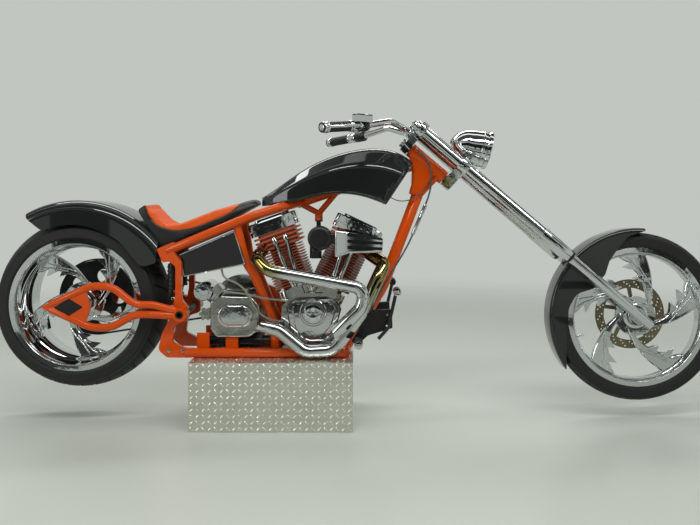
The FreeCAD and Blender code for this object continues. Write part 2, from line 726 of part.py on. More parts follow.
def make_seat(carriers):
    """Solo saddle with a raised back, shaped in side view and plan and seated on the frame."""
    back = about(rear_axle, [(333, 226, 10), (288, 300, 60), (237, 380, 10), (272, 406, 16), (304, 398, 30)])
    outline = back + [(-764, 806, 70), (-722, 800, 60), (-590, 852, 120), (-418, 902, 10), (-412, 878, 4),
                      (-560, 800, 60), (-736, 734, 20)]
    # plan view columns: x, half width
    plan = [(rear_axle_x + 190, 96), (rear_axle_x + 280, 118), (-720, 122), (-560, 104), (-404, 60)]
    right = [V(x, -half, 600) for x, half in plan]
    left = [V(x, half, 600) for x, half in reversed(plan)]
    wire = rounded_wire(right + left, [4, 200, 200, 200, 4, 4, 200, 200, 200, 4], closed=True)
    column = Part.Face(wire).extrude(V(0, 0, 400))
    return side_plate(outline, -140, 140).common(column).cut(carriers)


def make_rear_fender():
    """Rear fender: crown sheet with side skirts, longer at the front than at the tail."""
    x, z = rear_axle_x, rear_axle_z
    half = rear_fender_half_width
    outer = disc_y(x, z, rear_fender_radius, -half, half)
    edges = outer.Edges
    outer = outer.makeFillet(46.0, [e for e in edges if e.Curve.TypeId == "Part::GeomCircle"])
    inner = disc_y(x, z, rear_fender_radius - fender_sheet, -half + fender_sheet, half - fender_sheet)
    inner = inner.makeFillet(44.0, [e for e in inner.Edges if e.Curve.TypeId == "Part::GeomCircle"])
    shell = outer.cut(inner)
    # columns: ahead of the axle, above it, corner radius
    keep_outline = [(-206, 358, 40), (-150, 522, 0), (350, 522, 0), (326, 168, 14), (266, 152, 34),
                    (176, 262, 150), (14, 336, 260), (-128, 296, 30)]
    keep = side_plate(about(rear_axle, keep_outline), -half - 10, half + 10)
    return shell.common(keep)


# ------------------------------------------------------------------ engine
crank = V(crank_x, 0, crank_z)
engine_feet_x = (-292.0, -122.0)
sump_z = 274.0


def make_crankcase():
    """Crankcase halves: flywheel drum, sump block and the two cylinder decks."""
    w = crankcase_half_width
    drum = disc_y(crank_x, crank_z, 104, -w, w)
    # columns: ahead of the crank, above it, corner radius
    outline = [(-113, 97, 20), (-57, 147, 12), (63, 147, 12), (121, 111, 20), (109, 7, 30),
               (77, -61, 18), (-85, -61, 18), (-117, 7, 30)]
    mass = side_plate(about(crank, outline), -w, w)
    decks = [cylinder_slab(sign, 120, barrel_base - seat_gap, 74, 70, 30) for sign in (-1, 1)]
    rail_top = rail_z + rail_radius + seat_gap
    feet = [block(x - 17, x + 17, -rail_y - 12, rail_y + 12, rail_top, rail_top + 11) for x in engine_feet_x]
    spigots = []
    for route in (top_hose_route, rear_hose_route):
        inward = (route[-1] - route[-2]).normalize()
        spigots.append(rod(route[-1], route[-1] + inward * 32, hose_radius + 2))
    whole = joined([drum, mass] + decks + feet + spigots)
    return whole.cut(block(-400, 0, -200, 200, 200, sump_z))


def vee_half_space(sign):
    """Wedge beyond the plane between the cylinders, which trims the fins on their inner side."""
    lean = math.radians(engine_roll)
    up = V(math.sin(lean), 0, math.cos(lean))
    ahead = V(math.cos(lean), 0, -math.sin(lean)) * sign
    base = V(crank_x, -200, crank_z) + ahead * 2.5
    corners = [base - up * 50, base + up * 700, base + up * 700 - ahead * 500, base - up * 50 - ahead * 500]
    return Part.Face(Part.makePolygon(corners + corners[:1])).extrude(V(0, 400, 0))


def make_cylinder(sign):
    """Finned barrel, fins trimmed where the two cylinders stand close together."""
    up, _ = cylinder_axes(sign)
    core = Part.makeCylinder(barrel_radius, barrel_top - barrel_base, on_cylinder(sign, barrel_base), up)
    fins = []
    at = barrel_base + 14
    while at + fin_thickness < barrel_top - 2:
        fins.append(cylinder_slab(sign, at, at + fin_thickness, fin_half_length, fin_half_width, 34))
        at += fin_pitch
    return joined([core] + fins).cut(vee_half_space(sign))


def make_cylinders():
    """Front and rear barrel."""
    return Part.makeCompound([make_cylinder(-1), make_cylinder(1)])


def make_heads():
    """Cylinder heads with coarse fins."""
    heads = []
    for sign in (-1, 1):
        low = barrel_top + seat_gap
        core = cylinder_slab(sign, low, head_top, 78, 66, 24)
        fins = [cylinder_slab(sign, low + 4 + i * 17, low + 12 + i * 17, 97, 80, 30) for i in range(4)]
        heads.append(joined([core] + fins).cut(vee_half_space(sign)))
    return Part.makeCompound(heads)


def make_rocker_boxes():
    """Three-tier rocker boxes with a raised rib along the top."""
    boxes = []
    for sign in (-1, 1):
        low = head_top + seat_gap
        base = cylinder_slab(sign, low, low + 20, 102, 72, 16)
        middle = cylinder_slab(sign, low + 20, low + 24, 97, 67, 14)
        top = cylinder_slab(sign, low + 24, rocker_top, 102, 72, 16)
        up, _ = cylinder_axes(sign)
        crest = on_cylinder(sign, rocker_top).dot(up)
        top = top.makeChamfer(5.0, [e for e in top.Edges if all(v.Point.dot(up) > crest - 1e-6 for v in e.Vertexes)])
        rib = cylinder_slab(sign, rocker_top, rocker_top + 9, 74, 34, 12)
        boxes.append(joined([base, middle, top, rib]))
    return Part.makeCompound(boxes)


cam_cover_y = -136.0
cam_x = crank_x + 16
cam_z = crank_z + 74


def make_cam_cover():
    """Gear cover on the right of the crankcase: raised web, ribs and the turned points cover."""
    inner = -crankcase_half_width - seat_gap
    # columns: ahead of the crank, above it, corner radius
    outline = [(-95, 105, 18), (-57, 127, 14), (95, 133, 24), (131, 95, 20), (109, 15, 30),
               (55, -43, 20), (-39, -47, 20), (-77, 7, 26)]
    body = side_plate(about(crank, outline), cam_cover_y + 16, inner)
    body = body.makeChamfer(5.0, [e for e in body.Edges if lies_at(e, cam_cover_y + 16)])
    raised = [(-70, 96, 14), (-46, 108, 10), (84, 114, 18), (108, 88, 14), (88, 20, 24),
              (44, -28, 16), (-30, -32, 16), (-56, 12, 20)]
    pad = side_plate(about(crank, raised), cam_cover_y + 8, cam_cover_y + 17)
    pad = pad.makeChamfer(4.0, [e for e in pad.Edges if lies_at(e, cam_cover_y + 8)])
    ribs = []
    for ahead in (-24, 4, 32):
        low = crank + V(ahead, cam_cover_y + 3, -26)
        ribs.append(block(low.x - 3, low.x + 3, low.y, low.y + 7, low.z, cam_z - 30))
    # columns: distance out from the pad, radius
    rows = [(0, 54), (9, 54), (11, 51), (11, 45), (6, 43), (6, 38), (12, 36), (15, 24), (16, 0)]
    points = [V(cam_x, cam_cover_y + 8 - out, cam_z + r) for out, r in rows]
    points.append(V(cam_x, cam_cover_y + 8, cam_z))
    profile = Part.Face(Part.makePolygon(points + points[:1]))
    points_cover = profile.revolve(V(cam_x, 0, cam_z), Y_AXIS, 360)
    return joined([body, pad, points_cover] + ribs)


def lies_at(edge, y):
    """True for an edge whose ends both lie at one distance across the machine."""
    return all(abs(v.Point.y - y) < 1e-6 for v in edge.Vertexes)


def make_lifter_blocks(cam_cover):
    """Two lifter blocks over the gear cover."""
    blocks = []
    for ahead_of_crank, lean in ((-47, -16), (77, 22)):
        a = math.radians(lean)
        up, ahead = V(math.sin(a), 0, math.cos(a)), V(math.cos(a), 0, -math.sin(a))
        base = crank + V(ahead_of_crank, -122, 135)
        corners = [base - ahead * 28, base + ahead * 28, base + ahead * 24 + up * 42, base - ahead * 24 + up * 42]
        face = Part.Face(Part.makePolygon(corners + corners[:1]))
        blocks.append(face.extrude(V(0, 122 - crankcase_half_width - seat_gap, 0)).cut(cam_cover))
    return Part.makeCompound(blocks)


# about the crank; columns: foot ahead and up, top ahead and up
pushrods = [(-61, 182, -147, 369), (-37, 187, -101, 383), (85, 186, 145, 369), (105, 180, 185, 353)]


def make_pushrod_tubes(heads, rocker_boxes, lifter_blocks):
    """Four pushrod tubes that fan out from the lifter blocks to the heads."""
    tubes = []
    for x0, z0, x1, z1 in pushrods:
        foot, top = crank + V(x0, -106, z0 - 8), crank + V(x1, -82, z1)
        whole = joined([rod(foot, top, 9.0), rod(foot, foot + (top - foot) * 0.22, 12.0),
                        rod(foot + (top - foot) * 0.86, top, 11.0)])
        tubes.append(whole.cut([heads, rocker_boxes, lifter_blocks]))
    return Part.makeCompound(tubes)


throttle_x = crank_x + 45
throttle_z = crank_z + 374
throttle_radius = 48.0
steady_radius = 9.0       # bolt of the top engine steady


def make_carburettor(engine_tops, backbone):
    """Inlet pipe in the vee, the round throttle elbow outboard of it and the steady above."""
    inlet = disc_y(throttle_x, throttle_z, 28, -150, -20)
    drum = disc_y(throttle_x, throttle_z, throttle_radius, -206, -146)
    drum = drum.makeFillet(16.0, [e for e in drum.Edges if lies_at(e, -206)])
    snout = block(throttle_x, throttle_x + throttle_radius + 20, -198, -154, throttle_z - 22, throttle_z + 20)
    snout = snout.makeFillet(8.0, [e for e in snout.Edges if not is_across(e)])
    boss = disc_y(throttle_x - 6, throttle_z, 30, -212, -200)
    bowl = Part.makeCylinder(24, 62, V(throttle_x - 20, -104, throttle_z - 84))
    bowl_neck = Part.makeCylinder(15, 40, V(throttle_x - 20, -104, throttle_z - 40))
    steady = block(steady_x - 9, steady_x + 9, -30, -9 - seat_gap, throttle_z + 20, steady_z - 8)
    whole = joined([inlet, drum, snout, boss, bowl, bowl_neck, steady])
    return whole.cut(engine_tops + [backbone])


def make_air_cleaner(carburettor):
    """Fluted ram-type air cleaner that points forward from the throttle body."""
    # about the throttle; columns: ahead, up, corner radius
    outline = [(58, 27, 6), (66, 33, 6), (248, 0, 8), (245, -56, 8), (116, -60, 10), (66, -76, 8), (58, -70, 6)]
    throttle = V(throttle_x, 0, throttle_z)
    body = side_plate(about(throttle, outline), -206, -126)
    body = body.makeFillet(9.0, [e for e in body.Edges if lies_at(e, -206)])
    flutes = []
    for first, far_end, thick in ((22, 4, 13), (-4, -15, 11), (-28, -36, 11)):
        rows = [(108, first, 3), (262, far_end, 2), (262, far_end - thick, 2), (108, first - thick - 2, 3)]
        flutes.append(side_plate(about(throttle, rows), -220, -192))
    return body.cut(flutes).cut(carburettor)


def exhaust_pipe(points, bends, radius, muzzle, engine):
    """Exhaust pipe swept along its bends from inside the head, bored and slash cut at its muzzle."""
    pipe = tube(points, radius, bends=bends)
    end, before = points[-1], points[-2]
    direction = (end - before).normalize()
    bore = rod(end - direction * muzzle, end + direction, radius - 3)
    across = direction.cross(Y_AXIS)
    far, near = end + direction * 2, end - direction * radius
    corners = [near - across * (radius + 2), far + across * (radius + 2), far + direction * 60 + across * 40,
               far + direction * 60 - across * 40]
    slash = Part.Face(Part.makePolygon(corners + corners[:1])).extrude(V(0, 4 * radius, 0))
    slash.translate(V(0, -2 * radius, 0))
    return pipe.cut([bore, slash, engine])


def make_exhaust_rear(engine):
    """Rear cylinder's pipe: forward across the engine, round and back to a slash-cut end."""
    y = -217.0
    # about the crank; columns: ahead, across, up
    route = [(-190, -56, 327), (-203, -190, 295), (-155, y, 249), (225, y, 179), (205, y, 103), (93, y, -7)]
    points = [crank + V(*place) for place in route]
    return exhaust_pipe(points, [0, 34, 60, 44, 60, 0], 25.0, 60.0, engine)


def make_exhaust_front(engine):
    """Front cylinder's pipe: down ahead of the engine, then back under it and up."""
    y, low_y = -166.0, -179.0
    # about the crank; columns: ahead, across, up
    route = [(225, -50, 317), (301, -110, 267), (275, -146, 217), (211, y, 79), (95, low_y, -67),
             (-15, low_y, -73), (-117, low_y, 11), (-205, low_y, 37)]
    points = [crank + V(*place) for place in route]
    return exhaust_pipe(points, [0, 30, 60, 90, 70, 70, 60, 0], 27.0, 60.0, engine)


# ------------------------------------------------------------------ gearbox and drives
def make_gearbox():
    """Gearbox case with its lid, dipstick block, end flange and the star-shaped drain cover."""
    outline = [(-604, 494, 20), (-560, 512, 12), (-440, 508, 16), (-404, 470, 24), (-410, 372, 30),
               (-450, gearbox_floor_z, 12), (-580, gearbox_floor_z, 20), (-604, 380, 26)]
    case = side_plate(outline, -112, 128)
    case = case.makeFillet(8.0, [e for e in case.Edges if lies_at(e, -112) or lies_at(e, 128)])
    lid = side_plate([(-560, 508, 6), (-552, 532, 8), (-470, 528, 8), (-460, 506, 6)], -70, 70)
    cap_x, cap_z = -577.0, 534.0
    turn = [(0, 27, 5), (27, 0, 5), (0, -27, 5), (-27, 0, 5)]
    cap_block = side_plate([(cap_x + a, cap_z + b, r) for a, b, r in turn], -96, -40)
    cap = disc_y(cap_x, cap_z, 12, -104, -94)
    star_x, star_z = -626.0, 436.0
    star = disc_y(star_x, star_z, 19, -100, -60)
    teeth = [disc_y(*polar_xz(star_x, star_z, 21, 60 * i), 6, -98, -70) for i in range(6)]
    star_hub = disc_y(star_x, star_z, 9, -106, -98)
    hose_end, hose_next = top_hose_route[0], top_hose_route[1]
    spigot = rod(hose_end - (hose_next - hose_end).normalize() * 28, hose_end, hose_radius + 2)
    return joined([case, lid, cap_block, cap, star, star_hub, spigot] + teeth)


def make_gearbox_cover():
    """Stadium-shaped clutch actuator cover on the right of the gearbox, with a stepped face."""
    y = -112 - seat_gap
    outline = [(-572, 476, 44), (-432, 476, 44), (-432, 388, 43), (-572, 388, 43)]
    rim = side_plate(outline, y - 22, y)
    rim = rim.makeFillet(7.0, [e for e in rim.Edges if lies_at(e, y - 22)])
    inner = [(-560, 466, 33), (-444, 466, 33), (-444, 398, 33), (-560, 398, 33)]
    face = side_plate(inner, y - 32, y - 21)
    face = face.makeChamfer(4.0, [e for e in face.Edges if lies_at(e, y - 32)])
    recess = side_plate([(-546, 466, 5), (-458, 466, 5), (-468, 447, 5), (-536, 447, 5)], y - 40, y - 28)
    window = side_plate([(-536, 440, 6), (-468, 440, 6), (-468, 408, 6), (-536, 408, 6)], y - 40, y - 29)
    return joined([rim, face]).cut([recess, window])


starter_x = -632.0
starter_z = 528.0


def make_starter(gearbox):
    """Starter motor across the machine behind the gearbox, on its foot."""
    motor = disc_y(starter_x, starter_z, 36, -120, 60)
    nose = disc_y(starter_x, starter_z, 24, -134, -118)
    foot = side_plate([(-640, 500, 4), (-596, 470, 4), (-570, 520, 4), (-612, 540, 4)], -70, 30)
    return joined([motor, nose, foot]).cut(gearbox)


def make_primary_cover():
    """Long primary drive cover on the left, from the crank to the clutch."""
    low, high = 178.0, 232.0
    front = disc_y(crank_x, crank_z, 78, low, high)
    rear = disc_y(gearbox_shaft_x, gearbox_shaft_z, 118, low, high)
    bridge = [(crank_x + 6, crank_z + 78, 0), (gearbox_shaft_x + 10, gearbox_shaft_z + 117, 0),
              (gearbox_shaft_x + 40, gearbox_shaft_z - 111, 0), (crank_x + 10, crank_z - 77, 0)]
    body = side_plate(bridge, low, high)
    derby = disc_y(gearbox_shaft_x, gearbox_shaft_z, 74, high - 1, high + 8)
    return joined([front, rear, body, derby])


def make_drive_spacer():
    """Alternator housing that carries the primary cover out past the wide rear tyre."""
    return disc_y(crank_x, crank_z, 66, crankcase_half_width + seat_gap, 178 - seat_gap)


def make_front_pulley():
    """Gearbox output pulley in line with the rear one."""
    low, high = belt_y - belt_width / 2, belt_y + belt_width / 2
    wheel = disc_y(gearbox_shaft_x, gearbox_shaft_z, front_pulley_radius, low, high)
    shaft = disc_y(gearbox_shaft_x, gearbox_shaft_z, 20, 128 + seat_gap, 178 - seat_gap)
    return joined([wheel, shaft])


def make_belt():
    """Final drive belt, one closed band round both pulleys."""
    low, high = belt_y - belt_width / 2 + 1, belt_y + belt_width / 2 - 1
    rear_gap = 1.2            # the rear pulley turns inside the belt
    a = V(rear_axle_x, low, rear_axle_z)
    b = V(gearbox_shaft_x, low, gearbox_shaft_z)

    def band(extra):
        ra, rb = rear_pulley_radius + rear_gap + extra, front_pulley_radius + seat_gap + extra
        along = (b - a)
        distance = along.Length
        base = math.degrees(math.atan2(along.z, along.x))
        spread = math.degrees(math.acos((ra - rb) / distance))
        a_up, a_low = polar(a.x, a.z, ra, base + spread, low), polar(a.x, a.z, ra, base - spread, low)
        b_up, b_low = polar(b.x, b.z, rb, base + spread, low), polar(b.x, b.z, rb, base - spread, low)
        edges = [
            Part.Arc(a_up, polar(a.x, a.z, ra, base + 180, low), a_low).toShape(),
            Part.LineSegment(a_low, b_low).toShape(),
            Part.Arc(b_low, polar(b.x, b.z, rb, base, low), b_up).toShape(),
            Part.LineSegment(b_up, a_up).toShape(),
        ]
        return Part.Face(Part.Wire(edges)).extrude(V(0, high - low, 0))

    return band(belt_thickness).cut(band(0.0))


def make_oil_tank():
    """Flat-sided oil tank between the seat posts and the uprights."""
    outline = [(-731, 679, 6), (-504, 777, 6), (-461, 638, 6), (-712, 588, 6)]
    return side_plate(outline, -112, 100).cut([seat_post(side, seat_post_radius + seat_gap) for side in (-1, 1)])


# ------------------------------------------------------------------ cables and hoses
def cord(name, route, radius):
    """Free cord along a route: each corner's arc is as large as its two runs allow."""
    bends = [0.0]
    for before, corner, after in zip(route, route[1:], route[2:]):
        run_in, run_out = corner - before, after - corner
        half_turn = run_in.getAngle(run_out) / 2
        bends.append(0.45 * min(run_in.Length, run_out.Length) / math.tan(half_turn))
    bends.append(0.0)
    length = rounded_wire(route, bends).Length
    shape = tube(route, radius, bends=bends)
    filled = shape.Volume / (math.pi * radius ** 2 * length)
    print(name, "length", round(length), "fill", round(filled, 4), "radii", [round(b) for b in bends[1:-1]])
    return shape


def make_cable_adjuster():
    """Turned in-line adjuster sleeve on the cable's straight run."""
    start, end = cable_route[adjuster_run], cable_route[adjuster_run + 1]
    along = (end - start).normalize()
    low, high = start + along * 9, end - along * 9
    sleeve = rod(low, high, adjuster_radius)
    waist = rod(low + along * 40, low + along * 44, adjuster_radius + 1).cut(
        rod(low + along * 39, low + along * 45, adjuster_radius - 2))
    bore = rod(low - along, high + along, control_cable_radius + seat_gap)
    return sleeve.cut([waist, bore])


# ------------------------------------------------------------------ controls on the frame
def make_forward_control(side):
    """Forward foot control: bracket, peg and lever."""
    y = side * 112.0
    low, high = sorted((y, y + side * 22))
    outline = [(8, 456, 6), (126, 460, 6), (128, 386, 8), (30, 356, 14), (-12, 318, 8), (-38, 332, 8),
               (-6, 380, 14)]
    bracket = side_plate(outline, low, high)
    stay_low, stay_high = sorted((side * (downtube_radius + seat_gap), y))
    stay = disc_y(24, 428, 14, stay_low, stay_high)
    peg_low, peg_high = sorted((y, side * 266))
    peg = disc_y(-8, 340, 15, peg_low, peg_high)
    lever_y = side * 176.0
    lever = tube([V(70, lever_y, 350), V(108, lever_y, 392), V(142, lever_y, 540)], 7.0, 30.0)
    link_low, link_high = sorted((y, lever_y))
    link = disc_y(108, 400, 9, link_low, link_high)
    pad_low, pad_high = sorted((lever_y - side * 8, lever_y + side * 60))
    pad = disc_y(142, 540, 15, pad_low, pad_high)
    return joined([bracket, peg, lever, pad, link, stay])


# ------------------------------------------------------------------ front end
def make_triple_clamps():
    """Upper and lower fork clamps joined by the steering stem."""
    pieces = []
    for at, height in ((lower_clamp_at, lower_clamp_height), (upper_clamp_at, upper_clamp_height)):
        bottom = at - height / 2
        half = fork_half_spacing
        corners = [(30, -half), (8, -44), (8, 44), (30, half), (-20, half + 4), (-stem_offset - 30, 22),
                   (-stem_offset - 30, -22), (-20, -half - 4)]
        points = [on_fork(bottom, a, b) for a, b in corners]
        rounding = [10, 30, 30, 10, 30, 18, 18, 30]
        plate = Part.Face(rounded_wire(points, rounding, closed=True)).extrude(fork_up * height)
        pieces.append(plate)
        for side in (-1, 1):
            start = on_fork(bottom, 0, side * half)
            pieces.append(Part.makeCylinder(fork_upper_radius + 10, height, start, fork_up))
    stem = Part.makeCylinder(stem_radius, upper_clamp_at - lower_clamp_at, on_stem(lower_clamp_at), fork_up)
    nut = Part.makeCylinder(20, 14, on_stem(upper_clamp_at + upper_clamp_height / 2), fork_up)
    whole = joined(pieces + [stem, nut])
    bores = []
    for side in (-1, 1):
        start = on_fork(lower_clamp_at - 60, 0, side * fork_half_spacing)
        bores.append(Part.makeCylinder(fork_upper_radius + seat_gap, 400, start, fork_up))
    return whole.cut(bores)


def make_fork_uppers():
    """Two large upper fork tubes with a collar at the foot and a cap on top."""
    legs = []
    for side in (-1, 1):
        y = side * fork_half_spacing
        main = rod(on_fork(fork_upper_start, 0, y), on_fork(fork_top, 0, y), fork_upper_radius)
        collar = rod(on_fork(fork_upper_start, 0, y), on_fork(fork_collar_end, 0, y), fork_collar_radius)
        cap = rod(on_fork(fork_top, 0, y), on_fork(fork_top + 10, 0, y), 17)
        socket = rod(on_fork(fork_upper_start - 1, 0, y), on_fork(fork_upper_start + 120, 0, y),
                     fork_lower_radius + seat_gap)
        legs.append(joined([main, collar, cap]).cut(socket))
    return Part.makeCompound(legs)


def make_fork_lowers():
    """Two slim lower legs that carry the axle, slant cut at the foot."""
    legs = []
    for side in (-1, 1):
        y = side * fork_half_spacing
        leg = rod(on_fork(-fork_foot, 0, y), on_fork(fork_upper_start + 118, 0, y), fork_lower_radius)
        corners = [(-20, -116, 0), (120, -116, 0), (120, 4, 0), (54, -12, 0), (14, -64, 0)]
        slant = side_plate(about(front_axle, corners), y - 40, y + 40)
        low, high = sorted((y + side * (11 + seat_gap), y - side * 30))
        hole = disc_y(front_axle_x, front_axle_z, front_axle_radius + seat_gap, low, high)
        legs.append(leg.cut([slant, hole]))
    return Part.makeCompound(legs)


def make_front_axle():
    """Front spindle, blind in both legs, with a spacer on each side of the hub."""
    reach = fork_half_spacing + 11
    leg_face = fork_half_spacing - fork_lower_radius - seat_gap
    spindle = disc_y(front_axle_x, front_axle_z, front_axle_radius, -reach, reach)
    right = disc_y(front_axle_x, front_axle_z, 18, -leg_face, -front_hub_half - running_gap)
    rotor_face = front_rotor_y + rotor_thickness / 2 + running_gap
    left = disc_y(front_axle_x, front_axle_z, 18, rotor_face, leg_face)
    return joined([spindle, right, left])


def make_front_fender():
    """Front fender that wraps the back of the wheel, with wing-shaped skirts."""
    x, z = front_axle_x, front_axle_z
    half = front_fender_half_width
    outer = disc_y(x, z, front_fender_radius, -half, half)
    outer = outer.makeFillet(16.0, [e for e in outer.Edges if e.Curve.TypeId == "Part::GeomCircle"])
    inner = disc_y(x, z, front_fender_radius - fender_sheet, -half + fender_sheet, half - fender_sheet)
    inner = inner.makeFillet(14.0, [e for e in inner.Edges if e.Curve.TypeId == "Part::GeomCircle"])
    shell = outer.cut(inner)
    # columns: angle, skirt's edge inward of the crown, corner radius
    edge = [(86, 10, 0), (98, 30, 60), (110, 80, 60), (118, 104, 30), (128, 140, 26), (148, 142, 20),
            (159, 92, 50), (172, 74, 80), (190, 66, 120), (209, 24, 40), (216, 0, 0)]
    points = [polar(x, z, front_fender_radius - inward, a, -half - 10) for a, inward, _ in edge]
    far = [polar(x, z, front_fender_radius + 90, a, -half - 10) for a in (216, 190, 150, 120, 86)]
    wire = rounded_wire(points + far, [r for _, _, r in edge] + [0] * len(far), closed=True)
    keep = Part.Face(wire).extrude(V(0, 2 * half + 20, 0))
    return shell.common(keep)


def make_fender_struts():
    """Short stays from the lower legs to the front fender skirts."""
    stays = []
    for side in (-1, 1):
        inner = front_fender_half_width + seat_gap
        outer = fork_half_spacing - fork_lower_radius - seat_gap
        for along in (300.0, 352.0):
            centre = on_fork(along, 0, 0)
            low, high = sorted((side * inner, side * outer))
            stays.append(disc_y(centre.x, centre.z, 9, low, high))
    return Part.makeCompound(stays)


def make_front_caliper():
    """Front brake caliper over the disc, on a bracket to the left leg."""
    angle = 133.0
    centre = polar(front_axle_x, front_axle_z, front_rotor_radius - 8, angle)
    u = (centre - front_axle).normalize()
    t = V(-u.z, 0, u.x)
    low, high = front_rotor_y - 19, fork_half_spacing - fork_lower_radius - seat_gap
    corners = [centre - u * 26 - t * 48, centre - u * 26 + t * 48, centre + u * 30 + t * 40, centre + u * 30 - t * 40]
    corners = [V(c.x, low, c.z) for c in corners]
    body = Part.Face(rounded_wire(corners, [10, 10, 16, 16], closed=True)).extrude(V(0, high - low, 0))
    slot = disc_y(front_axle_x, front_axle_z, front_rotor_radius + 4, front_rotor_y - 5, front_rotor_y + 5)
    return body.cut(slot)


headlight_axis = V(0.970, 0, -0.242)
lamp_length = 166.0


def headlight_point(along, away=0.0):
    """Point on the headlight axis, measured from the back of the shell."""
    return lower_clamp + V(-45, 0, 108.5) + headlight_axis * along + V(0.242, 0, 0.970) * away


def make_headlight(clamps):
    """Bullet headlight shell turned about its own axis, hollow in front, and its stem."""
    edges = [
        Part.Arc(headlight_point(0), headlight_point(22, 40), headlight_point(76, 66)).toShape(),
        Part.Arc(headlight_point(76, 66), headlight_point(104, 72), headlight_point(134, 75)).toShape(),
        Part.LineSegment(headlight_point(134, 75), headlight_point(lamp_length, 75)).toShape(),
        Part.LineSegment(headlight_point(lamp_length, 75), headlight_point(lamp_length, 68)).toShape(),
        Part.LineSegment(headlight_point(lamp_length, 68), headlight_point(140, 66)).toShape(),
        Part.LineSegment(headlight_point(140, 66), headlight_point(100, 0)).toShape(),
        Part.LineSegment(headlight_point(100, 0), headlight_point(0)).toShape(),
    ]
    shell = Part.Face(Part.Wire(edges)).revolve(headlight_point(0), headlight_axis, 360)
    arm = rod(headlight_point(64, -30), on_fork(lower_clamp_at + 6, -8), 12)
    return joined([shell, arm.cut(clamps)])


def make_headlight_lens():
    """Domed headlight glass in the rim."""
    radius = 68.0 - seat_gap
    back, edge, crown = lamp_length - 10, lamp_length - 5, lamp_length + 6
    rise = crown - edge
    dome = (radius ** 2 + rise ** 2) / (2 * rise)

    def sag(away):
        return dome - math.sqrt(dome ** 2 - away ** 2)

    edges = [
        Part.LineSegment(headlight_point(back), headlight_point(back, radius)).toShape(),
        Part.LineSegment(headlight_point(back, radius), headlight_point(edge, radius)).toShape(),
        Part.Arc(headlight_point(edge, radius), headlight_point(crown - sag(radius / 2), radius / 2),
                 headlight_point(crown)).toShape(),
        Part.LineSegment(headlight_point(crown), headlight_point(back)).toShape(),
    ]
    return Part.Face(Part.Wire(edges)).revolve(headlight_point(0), headlight_axis, 360)


bar_radius = 13.0
# columns: ahead of the lower clamp, distance to the side, above the clamp, bend radius
bar_rows = [(-221, 0, 144.5, 0), (-221, 60, 144.5, 34), (-297, 150, 176.5, 90), (-397, 250, 150.5, 110),
            (-545, 376, 131.5, 0)]
bar_route = [(lower_clamp_x + ahead, y, lower_clamp_z + up, bend) for ahead, y, up, bend in bar_rows]


def make_handlebar(clamps):
    """Pull-back handlebar clamped on the upper fork clamp."""
    right = [V(x, -y, z) for x, y, z, _ in bar_route]
    left = [V(x, y, z) for x, y, z, _ in bar_route]
    points = list(reversed(right)) + left[1:]
    radii = [r for _, _, _, r in reversed(bar_route)] + [r for _, _, _, r in bar_route[1:]]
    bar = tube(points, bar_radius, bends=radii)
    risers = []
    for side in (-1, 1):
        foot = on_fork(upper_clamp_at + upper_clamp_height / 2, -34, side * 34)
        risers.append(rod(foot, V(bar_route[0][0], side * 34, bar_route[0][2]), 15))
    return joined([bar] + risers).cut(clamps)


def grip_line(side):
    """Outer end of the bar and the direction in along it, on one side."""
    end, before = bar_route[-1], bar_route[-2]
    tip = V(end[0], side * end[1], end[2])
    inner = V(before[0], side * before[1], before[2])
    return tip, (inner - tip).normalize()


def make_grips():
    """Hand grips with round end caps."""
    grips = []
    for side in (-1, 1):
        tip, inward = grip_line(side)
        grip = rod(tip, tip + inward * 118, 18.5)
        grip = grip.cut(rod(tip - inward * 2, tip + inward * 130, bar_radius + seat_gap))
        cap = rod(tip - inward * 22, tip - inward * seat_gap, 19)
        cap = cap.makeFillet(9, [cap.Edges[0]])
        grips += [grip, cap]
    return Part.makeCompound(grips)


def make_hand_controls():
    """Lever perch, lever and reservoir on each side of the bar."""
    sets = []
    for side in (-1, 1):
        tip, inward = grip_line(side)
        ahead = inward.cross(Z_AXIS).normalize() * (1 if side < 0 else -1)
        if ahead.x < 0:
            ahead = ahead * -1
        low, high = tip + inward * (118 + seat_gap), tip + inward * 150
        perch = rod(low, high, 22)
        base = tip + inward * 135
        body = rod(base + ahead * 10 + inward * 30, base + ahead * 34 + inward * -12, 15)
        lid_at = base + inward * 26 + ahead * 20
        reservoir = Part.makeBox(74, 34, 26, V(-37, -17, 12))
        turn = FreeCAD.Rotation(Z_AXIS, math.degrees(math.atan2(inward.y, inward.x)))
        reservoir.Placement = FreeCAD.Placement(lid_at, turn)
        lever = tube([base + ahead * 36, base + ahead * 52 - inward * 30, base + ahead * 44 - inward * 150],
                     6.0, 30.0)
        housing = rod(tip + inward * 151, tip + inward * 196, 21)
        whole = joined([perch, body, reservoir, lever, housing])
        sets.append(whole.cut(rod(tip - inward * 2, tip + inward * 300, bar_radius + seat_gap)))
    return Part.makeCompound(sets)


